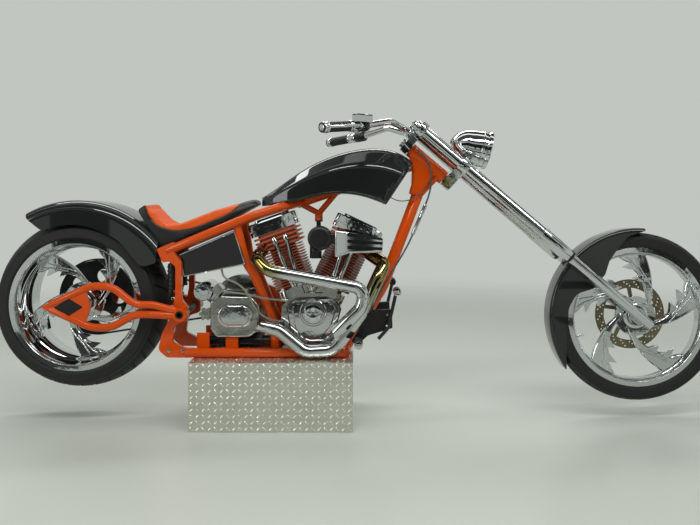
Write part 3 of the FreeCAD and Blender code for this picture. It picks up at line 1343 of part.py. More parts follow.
# ------------------------------------------------------------------ build
def build():
    """Makes every node and writes one STEP file for each."""
    backbone = make_backbone()
    downtube = make_downtube(backbone)
    cradle = make_cradle(downtube)
    seat_rails = make_seat_rails(backbone)
    parts["plinth"] = make_plinth()
    parts["frame_backbone"] = backbone
    parts["frame_downtube"] = downtube
    parts["frame_cradle"] = cradle
    parts["frame_seat_rails"] = seat_rails
    parts["frame_uprights"] = make_uprights(cradle, seat_rails)
    parts["frame_seat_posts"] = make_seat_posts(cradle, seat_rails)
    parts["pivot_shaft"] = make_pivot_shaft()
    parts["swingarm"] = make_swingarm()
    parts["axle_plates"] = make_axle_plates()
    parts["rear_axle"] = make_rear_axle()
    parts["rear_dampers"] = make_dampers()
    parts["belly_dampers"] = make_belly_dampers()
    parts["fuel_tank"] = make_fuel_tank()
    parts["rear_fender"] = make_rear_fender()
    parts["seat"] = make_seat([seat_rails, parts["rear_fender"], parts["fuel_tank"], parts["frame_uprights"]])
    parts["crankcase"] = make_crankcase()
    parts["cylinders"] = make_cylinders()
    parts["cylinder_heads"] = make_heads()
    parts["rocker_boxes"] = make_rocker_boxes()
    parts["cam_cover"] = make_cam_cover()
    parts["lifter_blocks"] = make_lifter_blocks(parts["cam_cover"])
    parts["pushrod_tubes"] = make_pushrod_tubes(parts["cylinder_heads"], parts["rocker_boxes"],
                                               parts["lifter_blocks"])
    parts["carburettor"] = make_carburettor([parts["cylinder_heads"], parts["rocker_boxes"]], backbone)
    parts["air_cleaner"] = make_air_cleaner(parts["carburettor"])
    barrels_and_heads = Part.makeCompound([parts["cylinders"], parts["cylinder_heads"]])
    parts["exhaust_rear"] = make_exhaust_rear(barrels_and_heads)
    parts["exhaust_front"] = make_exhaust_front(barrels_and_heads)
    parts["gearbox"] = make_gearbox()
    parts["gearbox_cover"] = make_gearbox_cover()
    parts["starter_motor"] = make_starter(parts["gearbox"])
    parts["primary_cover"] = make_primary_cover()
    parts["drive_spacer"] = make_drive_spacer()
    parts["front_pulley"] = make_front_pulley()
    parts["drive_belt"] = make_belt()
    parts["oil_tank"] = make_oil_tank()
    parts["foot_control_right"] = make_forward_control(-1)
    parts["foot_control_left"] = make_forward_control(1)
    cable = cord("control_cable", cable_route, control_cable_radius)
    parts["control_cable"] = cable.cut(parts["foot_control_right"])
    parts["cable_adjuster"] = make_cable_adjuster()
    line = cord("breather_line", breather_route, breather_radius)
    parts["breather_line"] = line.cut([parts["fuel_tank"], backbone])
    hose = cord("oil_hose_rear", rear_hose_route, hose_radius)
    parts["oil_hose_rear"] = hose.cut(parts["oil_tank"])
    parts["oil_hose_top"] = cord("oil_hose_top", top_hose_route, hose_radius)
    parts["triple_clamps"] = make_triple_clamps()
    parts["fork_uppers"] = make_fork_uppers()
    parts["fork_lowers"] = make_fork_lowers()
    parts["front_axle"] = make_front_axle()
    parts["front_fender"] = make_front_fender()
    parts["fender_stays"] = make_fender_struts()
    parts["front_caliper"] = make_front_caliper()
    parts["headlight"] = make_headlight(parts["triple_clamps"])
    parts["headlight_lens"] = make_headlight_lens()
    parts["handlebar"] = make_handlebar(parts["triple_clamps"])
    parts["grips"] = make_grips()
    parts["hand_controls"] = make_hand_controls()
    parts["front_tyre"] = make_front_tyre()
    parts["front_rim"] = make_front_rim()
    parts["front_rotor"] = make_front_rotor()
    parts["rear_tyre"] = make_rear_tyre()
    parts["rear_rim"] = make_rear_rim()
    parts["rear_pulley"] = make_rear_pulley()
    os.makedirs("parts", exist_ok=True)
    for name, shape in parts.items():
        shape.exportStep("parts/" + name + ".step")


build()
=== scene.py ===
"""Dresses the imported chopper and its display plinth: finishes, tyres, saddle, fasteners and cables."""

from __future__ import annotations

import logging
import math
from dataclasses import dataclass
from enum import Enum
from typing import Any, Sequence

import bmesh
import bpy
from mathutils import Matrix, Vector
from mathutils.bvhtree import BVHTree


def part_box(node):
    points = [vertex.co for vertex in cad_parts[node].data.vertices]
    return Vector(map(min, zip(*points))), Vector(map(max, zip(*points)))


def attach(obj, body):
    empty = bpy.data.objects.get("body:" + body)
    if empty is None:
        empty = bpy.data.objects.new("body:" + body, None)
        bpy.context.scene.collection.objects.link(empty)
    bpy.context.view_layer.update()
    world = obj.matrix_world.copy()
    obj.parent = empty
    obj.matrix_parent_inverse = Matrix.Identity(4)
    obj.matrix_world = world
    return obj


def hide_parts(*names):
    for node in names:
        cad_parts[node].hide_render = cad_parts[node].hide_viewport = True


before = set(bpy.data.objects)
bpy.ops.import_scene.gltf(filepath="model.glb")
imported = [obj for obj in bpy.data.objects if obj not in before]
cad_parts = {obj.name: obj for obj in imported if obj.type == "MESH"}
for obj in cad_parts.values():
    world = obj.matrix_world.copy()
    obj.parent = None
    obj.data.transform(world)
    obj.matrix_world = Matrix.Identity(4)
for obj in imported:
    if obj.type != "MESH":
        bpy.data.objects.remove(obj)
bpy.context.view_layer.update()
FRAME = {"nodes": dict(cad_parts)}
NODES = FRAME["nodes"]
LOG = logging.getLogger("chopper")
MM = 0.001
SUNK = 0.0004  # how deep small pieces sit in what carries them, in metres
EDGE_DEG = 38.0  # edges of the CAD sharper than this are broken
UP = Vector((0, 0, 1))
SIDES = (-1, 1)  # the rider's right and left

Pair = tuple[float, float]
Triple = tuple[float, float, float]


class Body(Enum):
    """The rigid bodies that a piece can ride on."""

    FRAME = "frame"
    STEERING = "steering"
    FRONT_WHEEL = "front_wheel"
    REAR_WHEEL = "rear_wheel"


# ------------------------------------------------------------------ colour and nodes
def linear(hex_colour: str) -> tuple[float, float, float, float]:
    """Turns an sRGB hex colour to linear values.

    Args:
        hex_colour: six hex digits with a leading hash.

    Returns:
        Linear red, green and blue, with alpha 1.
    """
    channels = [int(hex_colour[i : i + 2], 16) / 255 for i in (1, 3, 5)]
    values = [c / 12.92 if c <= 0.04045 else ((c + 0.055) / 1.055) ** 2.4 for c in channels]
    return values[0], values[1], values[2], 1.0


def add_node(tree: Any, kind: str, settings: dict[str, Any] | None = None,
             inputs: dict[Any, Any] | None = None) -> Any:
    """Adds one shader node with its settings and links.

    Args:
        tree: the node tree.
        kind: the node's Blender type name.
        settings: attributes of the node.
        inputs: input name or index to a value, or to the output socket that feeds it.

    Returns:
        The new node.
    """
    node = tree.nodes.new(kind)
    for key, value in (settings or {}).items():
        setattr(node, key, value)
    for key, value in (inputs or {}).items():
        if isinstance(value, bpy.types.NodeSocket):
            tree.links.new(value, node.inputs[key])
        else:
            node.inputs[key].default_value = value
    return node


# ------------------------------------------------------------------ finishes
class Graph:
    """The nodes of one material or world, with short ways to add the usual ones.

    A method that adds a node returns its output.
    """

    def __init__(self, tree: Any, shader: str = "Principled BSDF", coordinate: str = "Object") -> None:
        """Finds the shader and adds the coordinate that the patterns use."""
        self.tree = tree
        self.shader = tree.nodes[shader]
        self.place = add_node(tree, "ShaderNodeTexCoord").outputs[coordinate]

    def feed(self, name: str, value: Any) -> None:
        """Links an output to one of the shader's inputs."""
        self.tree.links.new(value, self.shader.inputs[name])

    def math(self, operation: str, first: Any, second: Any = 0.0) -> Any:
        """Works out one number."""
        inputs = {0: first, 1: second}
        return add_node(self.tree, "ShaderNodeMath", {"operation": operation}, inputs).outputs[0]

    def vector(self, operation: str, first: Any, second: Any) -> Any:
        """Works out one number from two vectors."""
        node = add_node(self.tree, "ShaderNodeVectorMath", {"operation": operation}, {0: first, 1: second})
        return node.outputs["Value"]

    def part(self, vector: Any, axis: str) -> Any:
        """Takes one part of a vector."""
        return add_node(self.tree, "ShaderNodeSeparateXYZ", None, {0: vector}).outputs[axis]

    def surface(self, name: str) -> Any:
        """Takes one output of the surface's geometry."""
        return add_node(self.tree, "ShaderNodeNewGeometry").outputs[name]

    def spread(self, value: Any, start: float, end: float, low: float = 0.0, high: float = 1.0,
               kind: str = "LINEAR") -> Any:
        """Maps the range from start to end onto low to high, and holds it beyond."""
        inputs = {"Value": value, "From Min": start, "From Max": end, "To Min": low, "To Max": high}
        node = add_node(self.tree, "ShaderNodeMapRange", {"interpolation_type": kind}, inputs)
        return node.outputs["Result"]

    def mix(self, share: Any, first: Any, second: Any) -> Any:
        """Mixes two colours, each a hex colour, a linear one or an output."""
        first, second = (linear(c) if isinstance(c, str) else c for c in (first, second))
        inputs = {0: share, 6: first, 7: second}
        return add_node(self.tree, "ShaderNodeMix", {"data_type": "RGBA"}, inputs).outputs[2]

    def noise(self, size_mm: float, detail: float, roughness: float = 0.5) -> Any:
        """Adds noise with features of a real size."""
        inputs = {"Vector": self.place, "Scale": 1000 / size_mm, "Detail": detail, "Roughness": roughness}
        return add_node(self.tree, "ShaderNodeTexNoise", None, inputs).outputs["Fac"]

    def wave(self, distance: Any, size_mm: float) -> Any:
        """Turns a distance to a sine wave of a real length."""
        return self.math("SINE", self.math("MULTIPLY", distance, 2000 * math.pi / size_mm))

    def bump(self, height: Any, depth_mm: float, invert: bool = False) -> None:
        """Raises the surface by a height from 0 to 1."""
        inputs = {"Height": height, "Distance": depth_mm * MM}
        node = add_node(self.tree, "ShaderNodeBump", {"invert": invert}, inputs)
        self.feed("Normal", node.outputs["Normal"])

    def ramp(self, share: Any, stops: Sequence[tuple[float, str]]) -> Any:
        """Turns a share to a colour, by stops of position and hex colour."""
        node = add_node(self.tree, "ShaderNodeValToRGB", None, {"Fac": share})
        elements = node.color_ramp.elements
        while len(elements) < len(stops):
            elements.new(0.5)
        for element, (position, colour) in zip(elements, stops):
            element.position = position
            element.color = linear(colour)
        return node.outputs["Color"]

    def show_through(self, share: Any) -> None:
        """Mixes a clear surface in, by a share."""
        clear = add_node(self.tree, "ShaderNodeBsdfTransparent").outputs[0]
        inputs = {0: share, 1: self.shader.outputs[0], 2: clear}
        both = add_node(self.tree, "ShaderNodeMixShader", None, inputs)
        self.tree.links.new(both.outputs[0], self.tree.nodes["Material Output"].inputs["Surface"])


@dataclass(frozen=True)
class Finish:
    """One surface finish, built as a Principled material.

    Sizes are in millimetres. Grain is the small bump of the surface, smudge the uneven gloss that
    handling leaves, and mottle the uneven colour.
    """

    name: str
    colour: str
    metallic: float = 0.0
    roughness: float = 0.5
    ior: float = 1.5
    coat: float = 0.0
    coat_roughness: float = 0.03
    grain_mm: float = 2.0
    grain_depth_mm: float = 0.0
    smudge: float = 0.0
    smudge_mm: float = 60.0
    mottle: str = ""
    mottle_mm: float = 40.0

    def build(self) -> Any:
        """Makes the material, or returns the one made before."""
        found = bpy.data.materials.get(self.name)
        if found:
            return found
        material = bpy.data.materials.new(self.name)
        material.use_nodes = True
        graph = Graph(material.node_tree)
        values = {"Base Color": linear(self.colour), "Metallic": self.metallic, "Roughness": self.roughness,
                  "Coat Weight": self.coat, "Coat Roughness": self.coat_roughness}
        if self.metallic < 0.5:
            values["IOR"] = self.ior
        for name, value in values.items():
            graph.shader.inputs[name].default_value = value
        self.vary(graph)
        self.pattern(graph)
        return material

    def vary(self, graph: Graph) -> None:
        """Adds the uneven colour, the uneven gloss and the fine grain."""
        if self.mottle:
            graph.feed("Base Color", graph.mix(graph.noise(self.mottle_mm, 4.0), self.colour, self.mottle))
        if self.smudge:
            least, most = max(self.roughness - self.smudge, 0.0), self.roughness + self.smudge
            noise = graph.noise(self.smudge_mm, 5.0, 0.6)
            graph.feed("Roughness", graph.spread(noise, 0.3, 0.7, least, most))
        if self.grain_depth_mm:
            graph.bump(graph.noise(self.grain_mm, 2.0), self.grain_depth_mm)

    def pattern(self, graph: Graph) -> None:
        """Adds what only one finish has; the plain finish has nothing more."""


@dataclass(frozen=True)
class FinEnamel(Finish):
    """Baked enamel on cast fins, with a painted highlight that lightens the rims and painted shade in the
    darker colour of the faces between them.
    """

    lean_deg: float = 0.0
    # colour of the painted highlight on the fin rims
    rim_highlight_colour: str = "#A84A28"

    def pattern(self, graph: Graph) -> None:
        """Paints a highlight on the fin rims, where the surface faces away from the cylinder's axis; the
        faces between the fins keep the darker base colour as painted shade.
        """
        lean = math.radians(self.lean_deg)
        axis = (math.sin(lean), 0.0, math.cos(lean))
        facing = graph.math("ABSOLUTE", graph.vector("DOT_PRODUCT", graph.surface("Normal"), axis))
        # rim is where the painted highlight goes: 1 on the rims, 0 on the faces between the fins that stay
        # dark as painted shade
        rim = graph.spread(facing, 0.35, 0.6, 1.0, 0.0)
        graph.feed("Base Color", graph.mix(rim, self.colour, self.rim_highlight_colour))


@dataclass(frozen=True)
class FlutedChrome(Finish):
    """Chrome cover with satin black paint laid in its flutes."""

    face_y: float = -0.2035
    flute_depth_mm: float = 2.0
    inlay: str = "#0C0D0E"
    inlay_roughness: float = 0.4

    def pattern(self, graph: Graph) -> None:
        """Paints what faces outward but lies deeper than the cover's face."""
        bottom_y = self.face_y + self.flute_depth_mm * MM
        deep = graph.spread(graph.part(graph.place, "Y"), self.face_y, bottom_y)
        outward = graph.math("LESS_THAN", graph.part(graph.surface("Normal"), "Y"), -0.9)
        painted = graph.math("MULTIPLY", deep, outward)
        graph.feed("Base Color", graph.mix(painted, self.colour, self.inlay))
        graph.feed("Metallic", graph.math("SUBTRACT", 1.0, painted))
        graph.feed("Roughness", graph.spread(painted, 0.0, 1.0, self.roughness, self.inlay_roughness))


@dataclass(frozen=True)
class BraidedSleeve(Finish):
    """Woven sleeve of a hose: two sets of strands that cross."""

    strand_mm: float = 3.0
    strand_depth_mm: float = 0.5

    def pattern(self, graph: Graph) -> None:
        """Raises crossing strands, drawn coarser than real ones so that they show."""
        strands = []
        for slant in ((1.0, 0.4, 1.0), (1.0, -0.4, -1.0)):
            along = graph.vector("DOT_PRODUCT", graph.place, slant)
            strands.append(graph.math("ABSOLUTE", graph.wave(along, self.strand_mm)))
        graph.bump(graph.math("MULTIPLY", *strands), self.strand_depth_mm)


@dataclass(frozen=True)
class HeatTintedChrome(Finish):
    """Chromed pipe blued and strawed by heat close to its port."""

    port: Triple = (0.0, 0.0, 0.0)
    reach_mm: float = 150.0

    def pattern(self, graph: Graph) -> None:
        """Colours the chrome by its distance from the port: brown, gold, straw, then clear."""
        share = graph.spread(graph.vector("DISTANCE", graph.place, self.port), 0.02, self.reach_mm * MM)
        graph.feed("Base Color", graph.ramp(share, (
            (0.0, "#4A3A20"), (0.22, "#86703A"), (0.5, "#948A58"), (0.78, "#ACAE96"), (1.0, self.colour))))


@dataclass(frozen=True)
class GrainedLeather(Finish):
    """Upholstery hide with a pebbled grain."""

    pebble_mm: float = 2.4
    pebble_depth_mm: float = 0.35

    def pattern(self, graph: Graph) -> None:
        """Adds pebbles from a soft cell pattern."""
        cells = add_node(graph.tree, "ShaderNodeTexVoronoi", {"feature": "SMOOTH_F1"},
                         {"Vector": graph.place, "Scale": 1000 / self.pebble_mm})
        graph.bump(cells.outputs["Distance"], self.pebble_depth_mm, True)


@dataclass(frozen=True)
class SpunMetal(Finish):
    """Turned metal whose fine rings run round the wheel's axis."""

    axis_x: float = 0.0
    axis_z: float = 0.0
    ring_mm: float = 1.2
    ring_depth_mm: float = 0.02

    def pattern(self, graph: Graph) -> None:
        """Adds rings by the distance from the axis."""
        flat = add_node(graph.tree, "ShaderNodeCombineXYZ", None,
                        {"X": graph.part(graph.place, "X"), "Z": graph.part(graph.place, "Z")}).outputs[0]
        away = graph.vector("DISTANCE", flat, (self.axis_x, 0.0, self.axis_z))
        graph.bump(graph.wave(away, self.ring_mm), self.ring_depth_mm)


@dataclass(frozen=True)
class MouldedGlass(Finish):
    """Clear pressed glass: light goes through and the edge reflects."""

    rib_mm: float = 6.98
    rib_depth_mm: float = 0.6

    def pattern(self, graph: Graph) -> None:
        """Lets light through the glass and gives it pressed ribs."""
        graph.shader.inputs["Transmission Weight"].default_value = 1.0
        graph.bump(graph.wave(graph.part(graph.place, "Y"), self.rib_mm), self.rib_depth_mm)


# Decorative chrome plate over polished steel: mirror bright, with faint wipe marks.
CHROME = Finish("chrome_plate_polished", "#CDD0D0", metallic=1.0, roughness=0.045, smudge=0.03, grain_mm=34.0,
                grain_depth_mm=0.22)
# Polished cast aluminium of the engine cases: bright, a little softer than plate.
CASE_METAL = Finish("aluminium_cast_polished", "#C6C7C1", metallic=1.0, roughness=0.12, smudge=0.05,
                    smudge_mm=40.0, mottle="#A6A7A0", mottle_mm=40.0, grain_mm=24.0, grain_depth_mm=0.3)
# Two-pack orange enamel under clear lacquer: a wet gloss with slight orange peel.
ORANGE = Finish("enamel_orange_lacquered", "#D24C04", roughness=0.42, ior=1.12, coat=0.7,
                coat_roughness=0.05, mottle="#C84602", mottle_mm=90.0, grain_mm=1.6, grain_depth_mm=0.006)
# Charcoal pearl base coat under clear lacquer: near black with a grey bloom.
CHARCOAL = Finish("enamel_charcoal_pearl", "#191C1B", roughness=0.34, ior=1.12, coat=1.0, mottle="#1E2220",
                  mottle_mm=120.0, grain_mm=1.4, grain_depth_mm=0.004)
# Gloss black enamel: deep black with a hard shine.
BLACK_GLOSS = Finish("enamel_black_gloss", "#060607", roughness=0.3, ior=1.12, coat=1.0, smudge=0.06,
                     mottle="#08080A")
# Black powder coat: satin with a fine texture.
BLACK_SATIN = Finish("powder_coat_black", "#0C0C0D", roughness=0.4, grain_mm=0.8, grain_depth_mm=0.02,
                     mottle="#131314")
# Turned mild steel of shafts and bolts: grey and softly bright.
STEEL = Finish("steel_turned_bright", "#B9BBBC", metallic=1.0, roughness=0.24, smudge=0.08, smudge_mm=20.0)
# Cast steel of the belt pulley, phosphated dark.
DARK_STEEL = Finish("steel_phosphated", "#3A3B3C", metallic=1.0, roughness=0.42, smudge=0.08, smudge_mm=30.0)
# Rolled tread-plate aluminium: dull silver with a warm cast and scuffs.
TREAD_PLATE = Finish("aluminium_tread_plate", "#E6E7DA", metallic=1.0, roughness=0.42, smudge=0.12,
                     smudge_mm=45.0, mottle="#D3D4C7", mottle_mm=70.0, grain_mm=1.2, grain_depth_mm=0.05)
# The raised bars of the tread plate, rubbed brighter than the sheet.
TREAD_BAR = Finish("aluminium_tread_bars", "#FAFAF2", metallic=1.0, roughness=0.24, smudge=0.08,
                   smudge_mm=25.0, grain_mm=1.0, grain_depth_mm=0.03)
# Vulcanised tyre rubber: near black, matt, with a brown bloom.
TYRE_RUBBER = Finish("rubber_tyre_vulcanised", "#0F1010", roughness=0.6, mottle="#161615", mottle_mm=50.0,
                     grain_mm=1.0, grain_depth_mm=0.06)
# Polyurethane drive belt: matt black.
BELT = Finish("polyurethane_belt", "#0E0E0E", roughness=0.55, grain_mm=1.0, grain_depth_mm=0.05)
# Moulded rubber grip: soft black.
GRIP = Finish("rubber_grip_moulded", "#121211", roughness=0.58, grain_mm=1.2, grain_depth_mm=0.12)
# Dyed upholstery hide in charcoal, pebbled.
SEAT_BLACK = GrainedLeather("leather_charcoal_pebbled", "#161817", roughness=0.46, mottle="#101211")
# The same hide dyed orange for the inset.
SEAT_ORANGE = GrainedLeather("leather_orange_pebbled", "#DA5606", roughness=0.5, ior=1.35, mottle="#D04E04")
# Waxed polyester sewing thread in charcoal.
THREAD = Finish("thread_polyester_charcoal", "#2A2B2A", roughness=0.6, grain_mm=0.5, grain_depth_mm=0.1)
# PVC jacket of the control cable: grey-green, half glossy.
CABLE = Finish("pvc_cable_jacket", "#4A5452", roughness=0.32, mottle="#3E4745", mottle_mm=20.0,
               grain_mm=1.0, grain_depth_mm=0.05)
# Woven nylon sleeve over rubber oil hose: grey with an olive cast.
HOSE = BraidedSleeve("nylon_braid_oil_hose", "#A2A392", roughness=0.45, mottle="#86877A", mottle_mm=12.0)
# Pressed headlight glass.
LAMP_GLASS = MouldedGlass("glass_pressed_clear", "#F4F8F8", roughness=0.03, ior=1.5)
# Vacuum-coated reflector bowl.
REFLECTOR = Finish("reflector_aluminised", "#EDEFF0", metallic=1.0, roughness=0.12, grain_mm=9.0,
                   grain_depth_mm=0.3)


# ------------------------------------------------------------------ mesh helpers
def modify(thing: Any, name: str, kind: str, **settings: Any) -> Any:
    """Adds a modifier with its settings and returns it."""
    modifier = thing.modifiers.new(name, kind)
    for key, value in settings.items():
        setattr(modifier, key, value)
    return modifier


def mesh_data(name: str, mesh: Any) -> Any:
    """Turns a bmesh to mesh data and frees it."""
    data = bpy.data.meshes.new(name)
    mesh.to_mesh(data)
    mesh.free()
    return data


def add_object(name: str, data: Any) -> Any:
    """Puts a new object with its data in the scene."""
    thing = bpy.data.objects.new(name, data)
    bpy.context.scene.collection.objects.link(thing)
    return thing


def middle_of(node: str) -> Vector:
    """Middle of a node's box, in metres."""
    low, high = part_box(node)
    return (Vector(low) + Vector(high)) / 2


def span_of(node: str) -> Vector:
    """The three sizes of a node's box, in metres."""
    low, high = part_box(node)
    return Vector(high) - Vector(low)


def dress(nodes: str, finish: Finish, edge_mm: float = 0.0) -> None:
    """Gives CAD nodes their finish and, where asked, broken edges.

    Args:
        nodes: the nodes' names, with spaces between them.
        finish: their finish.
        edge_mm: width of the rounded edge, or 0 for none.
    """
    material = finish.build()
    for node in nodes.split():
        thing = NODES[node]
        for slot in thing.material_slots:
            slot.material = material
        if edge_mm:
            modify(thing, "weld", "WELD", merge_threshold=0.00001)
            modify(thing, "edge", "BEVEL", width=edge_mm * MM, segments=2, limit_method="ANGLE",
                   angle_limit=math.radians(EDGE_DEG), harden_normals=True, use_clamp_overlap=True)


def piece(name: str, mesh: Any, finishes: Sequence[Finish], body: Body, smooth_deg: float = 35.0) -> Any:
    """Makes an object of a mesh, dresses it and sets it on its body.

    Args:
        name: the piece's name.
        mesh: the bmesh; it is freed.
        finishes: one finish for each material index.
        body: what it rides on.
        smooth_deg: edges flatter than this are smooth.

    Returns:
        The new object.
    """
    data = mesh_data(name, mesh)
    for finish in finishes:
        data.materials.append(finish.build())
    data.shade_smooth()
    data.set_sharp_from_angle(angle=math.radians(smooth_deg))
    thing = add_object(name, data)
    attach(thing, body.value)
    LOG.info("%s: %d faces on %s", name, len(data.polygons), body.value)
    return thing


def loft(mesh: Any, rings: Sequence[Sequence[Any]], start: bool = False, end: bool = False) -> None:
    """Joins each closed ring of vertices to the next with quads.

    Args:
        mesh: the bmesh.
        rings: the rings, all with the same number of vertices.
        start: whether the first ring is filled.
        end: whether the last ring is filled.
    """
    for first, second in zip(rings, rings[1:]):
        for i in range(len(first)):
            after = (i + 1) % len(first)
            mesh.faces.new((first[i], first[after], second[after], second[i]))
    if end:
        mesh.faces.new(rings[-1])
    if start:
        mesh.faces.new(list(reversed(rings[0])))


def sides_of(axis: Vector) -> tuple[Vector, Vector]:
    """Two unit vectors square to a unit axis and to each other."""
    helper = UP if abs(axis.z) < 0.9 else Vector((1, 0, 0))
    across = axis.cross(helper).normalized()
    return across, axis.cross(across).normalized()


def ring_of(mesh: Any, centre: Vector, sides: tuple[Vector, Vector], radius: float, count: int) -> list[Any]:
    """Adds one circle of vertices.

    Args:
        mesh: the bmesh.
        centre: the circle's centre.
        sides: two unit vectors in its plane.
        radius: in metres.
        count: how many vertices.

    Returns:
        The vertices in order.
    """
    step = 2 * math.pi / count
    across, up = sides
    return [mesh.verts.new(centre + (across * math.cos(i * step) + up * math.sin(i * step)) * radius)
            for i in range(count)]


def turned(mesh: Any, base: Vector, axis: Vector, profile: Sequence[Pair], count: int = 24,
           start: bool = True, end: bool = True) -> list[list[Any]]:
    """Adds a turned form.

    Args:
        mesh: the bmesh.
        base: where the profile's height is zero.
        axis: the turning axis.
        profile: height and radius pairs in millimetres, from one end to the other.
        count: how many sides.
        start: whether its first end is filled.
        end: whether its last end is filled.

    Returns:
        Its rings of vertices.
    """
    axis = axis.normalized()
    sides = sides_of(axis)
    rings = [ring_of(mesh, base + axis * (h * MM), sides, max(r, 0.01) * MM, count) for h, r in profile]
    loft(mesh, rings, start, end)
    return rings


def ribbed(count: int, pitch_mm: float, rib: Sequence[Pair]) -> list[Pair]:
    """Repeats one rib's heights and radii along a profile."""
    return [(i * pitch_mm + height, radius) for i in range(count) for height, radius in rib]


def socket_screw(mesh: Any, seat: Vector, axis: Vector, head_mm: float, height_mm: float) -> None:
    """Adds a socket-head cap screw with its hexagon recess.

    Args:
        mesh: the bmesh.
        seat: centre of the head's underside.
        axis: out of the surface.
        head_mm: head diameter.
        height_mm: head height.
    """
    axis = axis.normalized()
    across, up = sides_of(axis)
    r, h, count = head_mm / 2, height_mm, 18
    # the head's side, its broken edge and the round mouth of the recess
    rings = [ring_of(mesh, seat + axis * (z * MM), (across, up), q * MM, count)
             for z, q in ((0, r), (h * 0.85, r), (h, r * 0.9), (h, r * 0.52))]
    hexagon = []
    for i in range(count):
        turn = 2 * math.pi * i / count
        reach = r * 0.45 / math.cos(turn % (math.pi / 3) - math.pi / 6)
        hexagon.append(mesh.verts.new(seat + axis * (h * MM)
                                      + (across * math.cos(turn) + up * math.sin(turn)) * (reach * MM)))
    recess = [mesh.verts.new(v.co - axis * (h * 0.6 * MM)) for v in hexagon]
    loft(mesh, [*rings, hexagon, recess], end=True)


def hex_nut(mesh: Any, seat: Vector, axis: Vector, flats_mm: float, height_mm: float) -> None:
    """Adds a domed hexagon nut on a washer.

    Args:
        mesh: the bmesh.
        seat: centre of the washer's underside.
        axis: out of the surface.
        flats_mm: size across the flats.
        height_mm: height of the hexagon.
    """
    axis = axis.normalized()
    washer_mm, f = 1.6, flats_mm
    turned(mesh, seat, axis, [(0, f * 0.68), (washer_mm, f * 0.68)])
    loft(mesh, [ring_of(mesh, seat + axis * (h * MM), sides_of(axis), f / math.sqrt(3) * share * MM, 6)
                for h, share in ((washer_mm, 1.0), (height_mm * 0.85, 1.0), (height_mm, 0.86))], end=True)
    dome = [(0, f * 0.36), (f * 0.12, f * 0.3), (f * 0.22, f * 0.12)]
    turned(mesh, seat + axis * (height_mm * MM), axis, dome, 16)


def swept(mesh: Any, points: Sequence[Vector], radius: float, count: int = 8) -> None:
    """Adds a round bead along points.

    Args:
        mesh: the bmesh.
        points: the line's points, in metres.
        radius: in metres.
        count: how many sides.
    """
    rings = []
    up = UP
    for i, point in enumerate(points):
        ahead = (points[min(i + 1, len(points) - 1)] - points[max(i - 1, 0)]).normalized()
        across = ahead.cross(up)
        if across.length < 0.05:
            across = ahead.cross(Vector((1, 0, 0)))
        across.normalize()
        up = across.cross(ahead).normalized()
        rings.append(ring_of(mesh, point, (across, up), radius, count))
    loft(mesh, rings, True, True)


def smooth_line(points: Sequence[Triple], per_run: int = 8) -> list[Vector]:
    """Points along a smooth curve through a few given ones, in millimetres.

    Args:
        points: what the curve goes through.
        per_run: steps between two of them.

    Returns:
        The curve's points, in metres.
    """
    known = [Vector(p) * MM for p in points]
    known = [known[0] * 2 - known[1]] + known + [known[-1] * 2 - known[-2]]
    line = []
    for i in range(1, len(known) - 2):
        before, a, b, after = known[i - 1 : i + 3]
        for k in range(per_run):
            t = k / per_run
            # the cubic that passes a and b with the slopes their neighbours give
            line.append(0.5 * (2 * a + (b - before) * t + (2 * before - 5 * a + 4 * b - after) * t * t
                               + (3 * a - before - 3 * b + after) * t ** 3))
    line.append(known[-2])
    return line


class Skin:
    """The surface of a mesh, asked where small pieces sit on it."""

    def __init__(self, data: Any) -> None:
        """Reads the mesh's surface."""
        self.tree = BVHTree.FromPolygons([v.co.copy() for v in data.vertices],
                                         [tuple(p.vertices) for p in data.polygons])

    def flank(self, x_mm: float, z_mm: float, side: int) -> tuple[Vector, Vector] | None:
        """Finds the outermost place on one side of the machine.

        Args:
            x_mm: distance ahead.
            z_mm: height.
            side: -1 for the rider's right, 1 for the left.

        Returns:
            The place and the surface's outward normal, or None where there is nothing.
        """
        start = Vector((x_mm * MM, side, z_mm * MM))
        place, normal, _, _ = self.tree.ray_cast(start, Vector((0, -side, 0)))
        if place is None:
            return None
        return place, normal if normal.y * side > 0 else -normal

    def along(self, places: Sequence[Pair], side: int) -> list[tuple[Vector, Vector]]:
        """What the flank finds at several places, each ahead and height, without the misses."""
        return [found for found in (self.flank(x, z, side) for x, z in places) if found]

    def lowest(self, x_mm: float, side: int, high_mm: float, low_mm: float) -> float:
        """Finds the height of the lower edge on one flank, by halving.

        Args:
            x_mm: distance ahead.
            side: which flank.
            high_mm: a height where the flank is there.
            low_mm: a height below it.

        Returns:
            The edge's height in millimetres.
        """
        for _ in range(14):
            middle = (high_mm + low_mm) / 2
            if self.flank(x_mm, middle, side):
                high_mm = middle
            else:
                low_mm = middle
        return high_mm


def skin_of(node: str) -> Skin:
    """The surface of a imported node."""
    return Skin(NODES[node].data)


def screws_on(name: str, node: str, places: Sequence[Pair], head_mm: float, height_mm: float,
              body: Body = Body.FRAME, sides: Sequence[int] = (-1,)) -> None:
    """Sets chromed socket-head screws square to a node's flank.

    Args:
        name: the piece's name.
        node: the node they sit on.
        places: distance ahead and height of each, in millimetres.
        head_mm: head diameter.
        height_mm: head height.
        body: what they ride on.
        sides: which flanks.
    """
    skin = skin_of(node)
    mesh = bmesh.new()
    for side in sides:
        for place, normal in skin.along(places, side):
            socket_screw(mesh, place - normal * SUNK, normal, head_mm, height_mm)
    piece(name, mesh, [CHROME], body)


def ring_places(centre_mm: Pair, radius_mm: float, count: int, first_deg: float = 0.0) -> list[Pair]:
    """Evenly spaced places round a centre, in side view.

    Args:
        centre_mm: the centre's distance ahead and height.
        radius_mm: the ring's radius.
        count: how many places.
        first_deg: angle of the first.

    Returns:
        Distance ahead and height of each.
    """
    turns = [math.radians(first_deg + 360 * i / count) for i in range(count)]
    return [(centre_mm[0] + radius_mm * math.cos(t), centre_mm[1] + radius_mm * math.sin(t)) for t in turns]


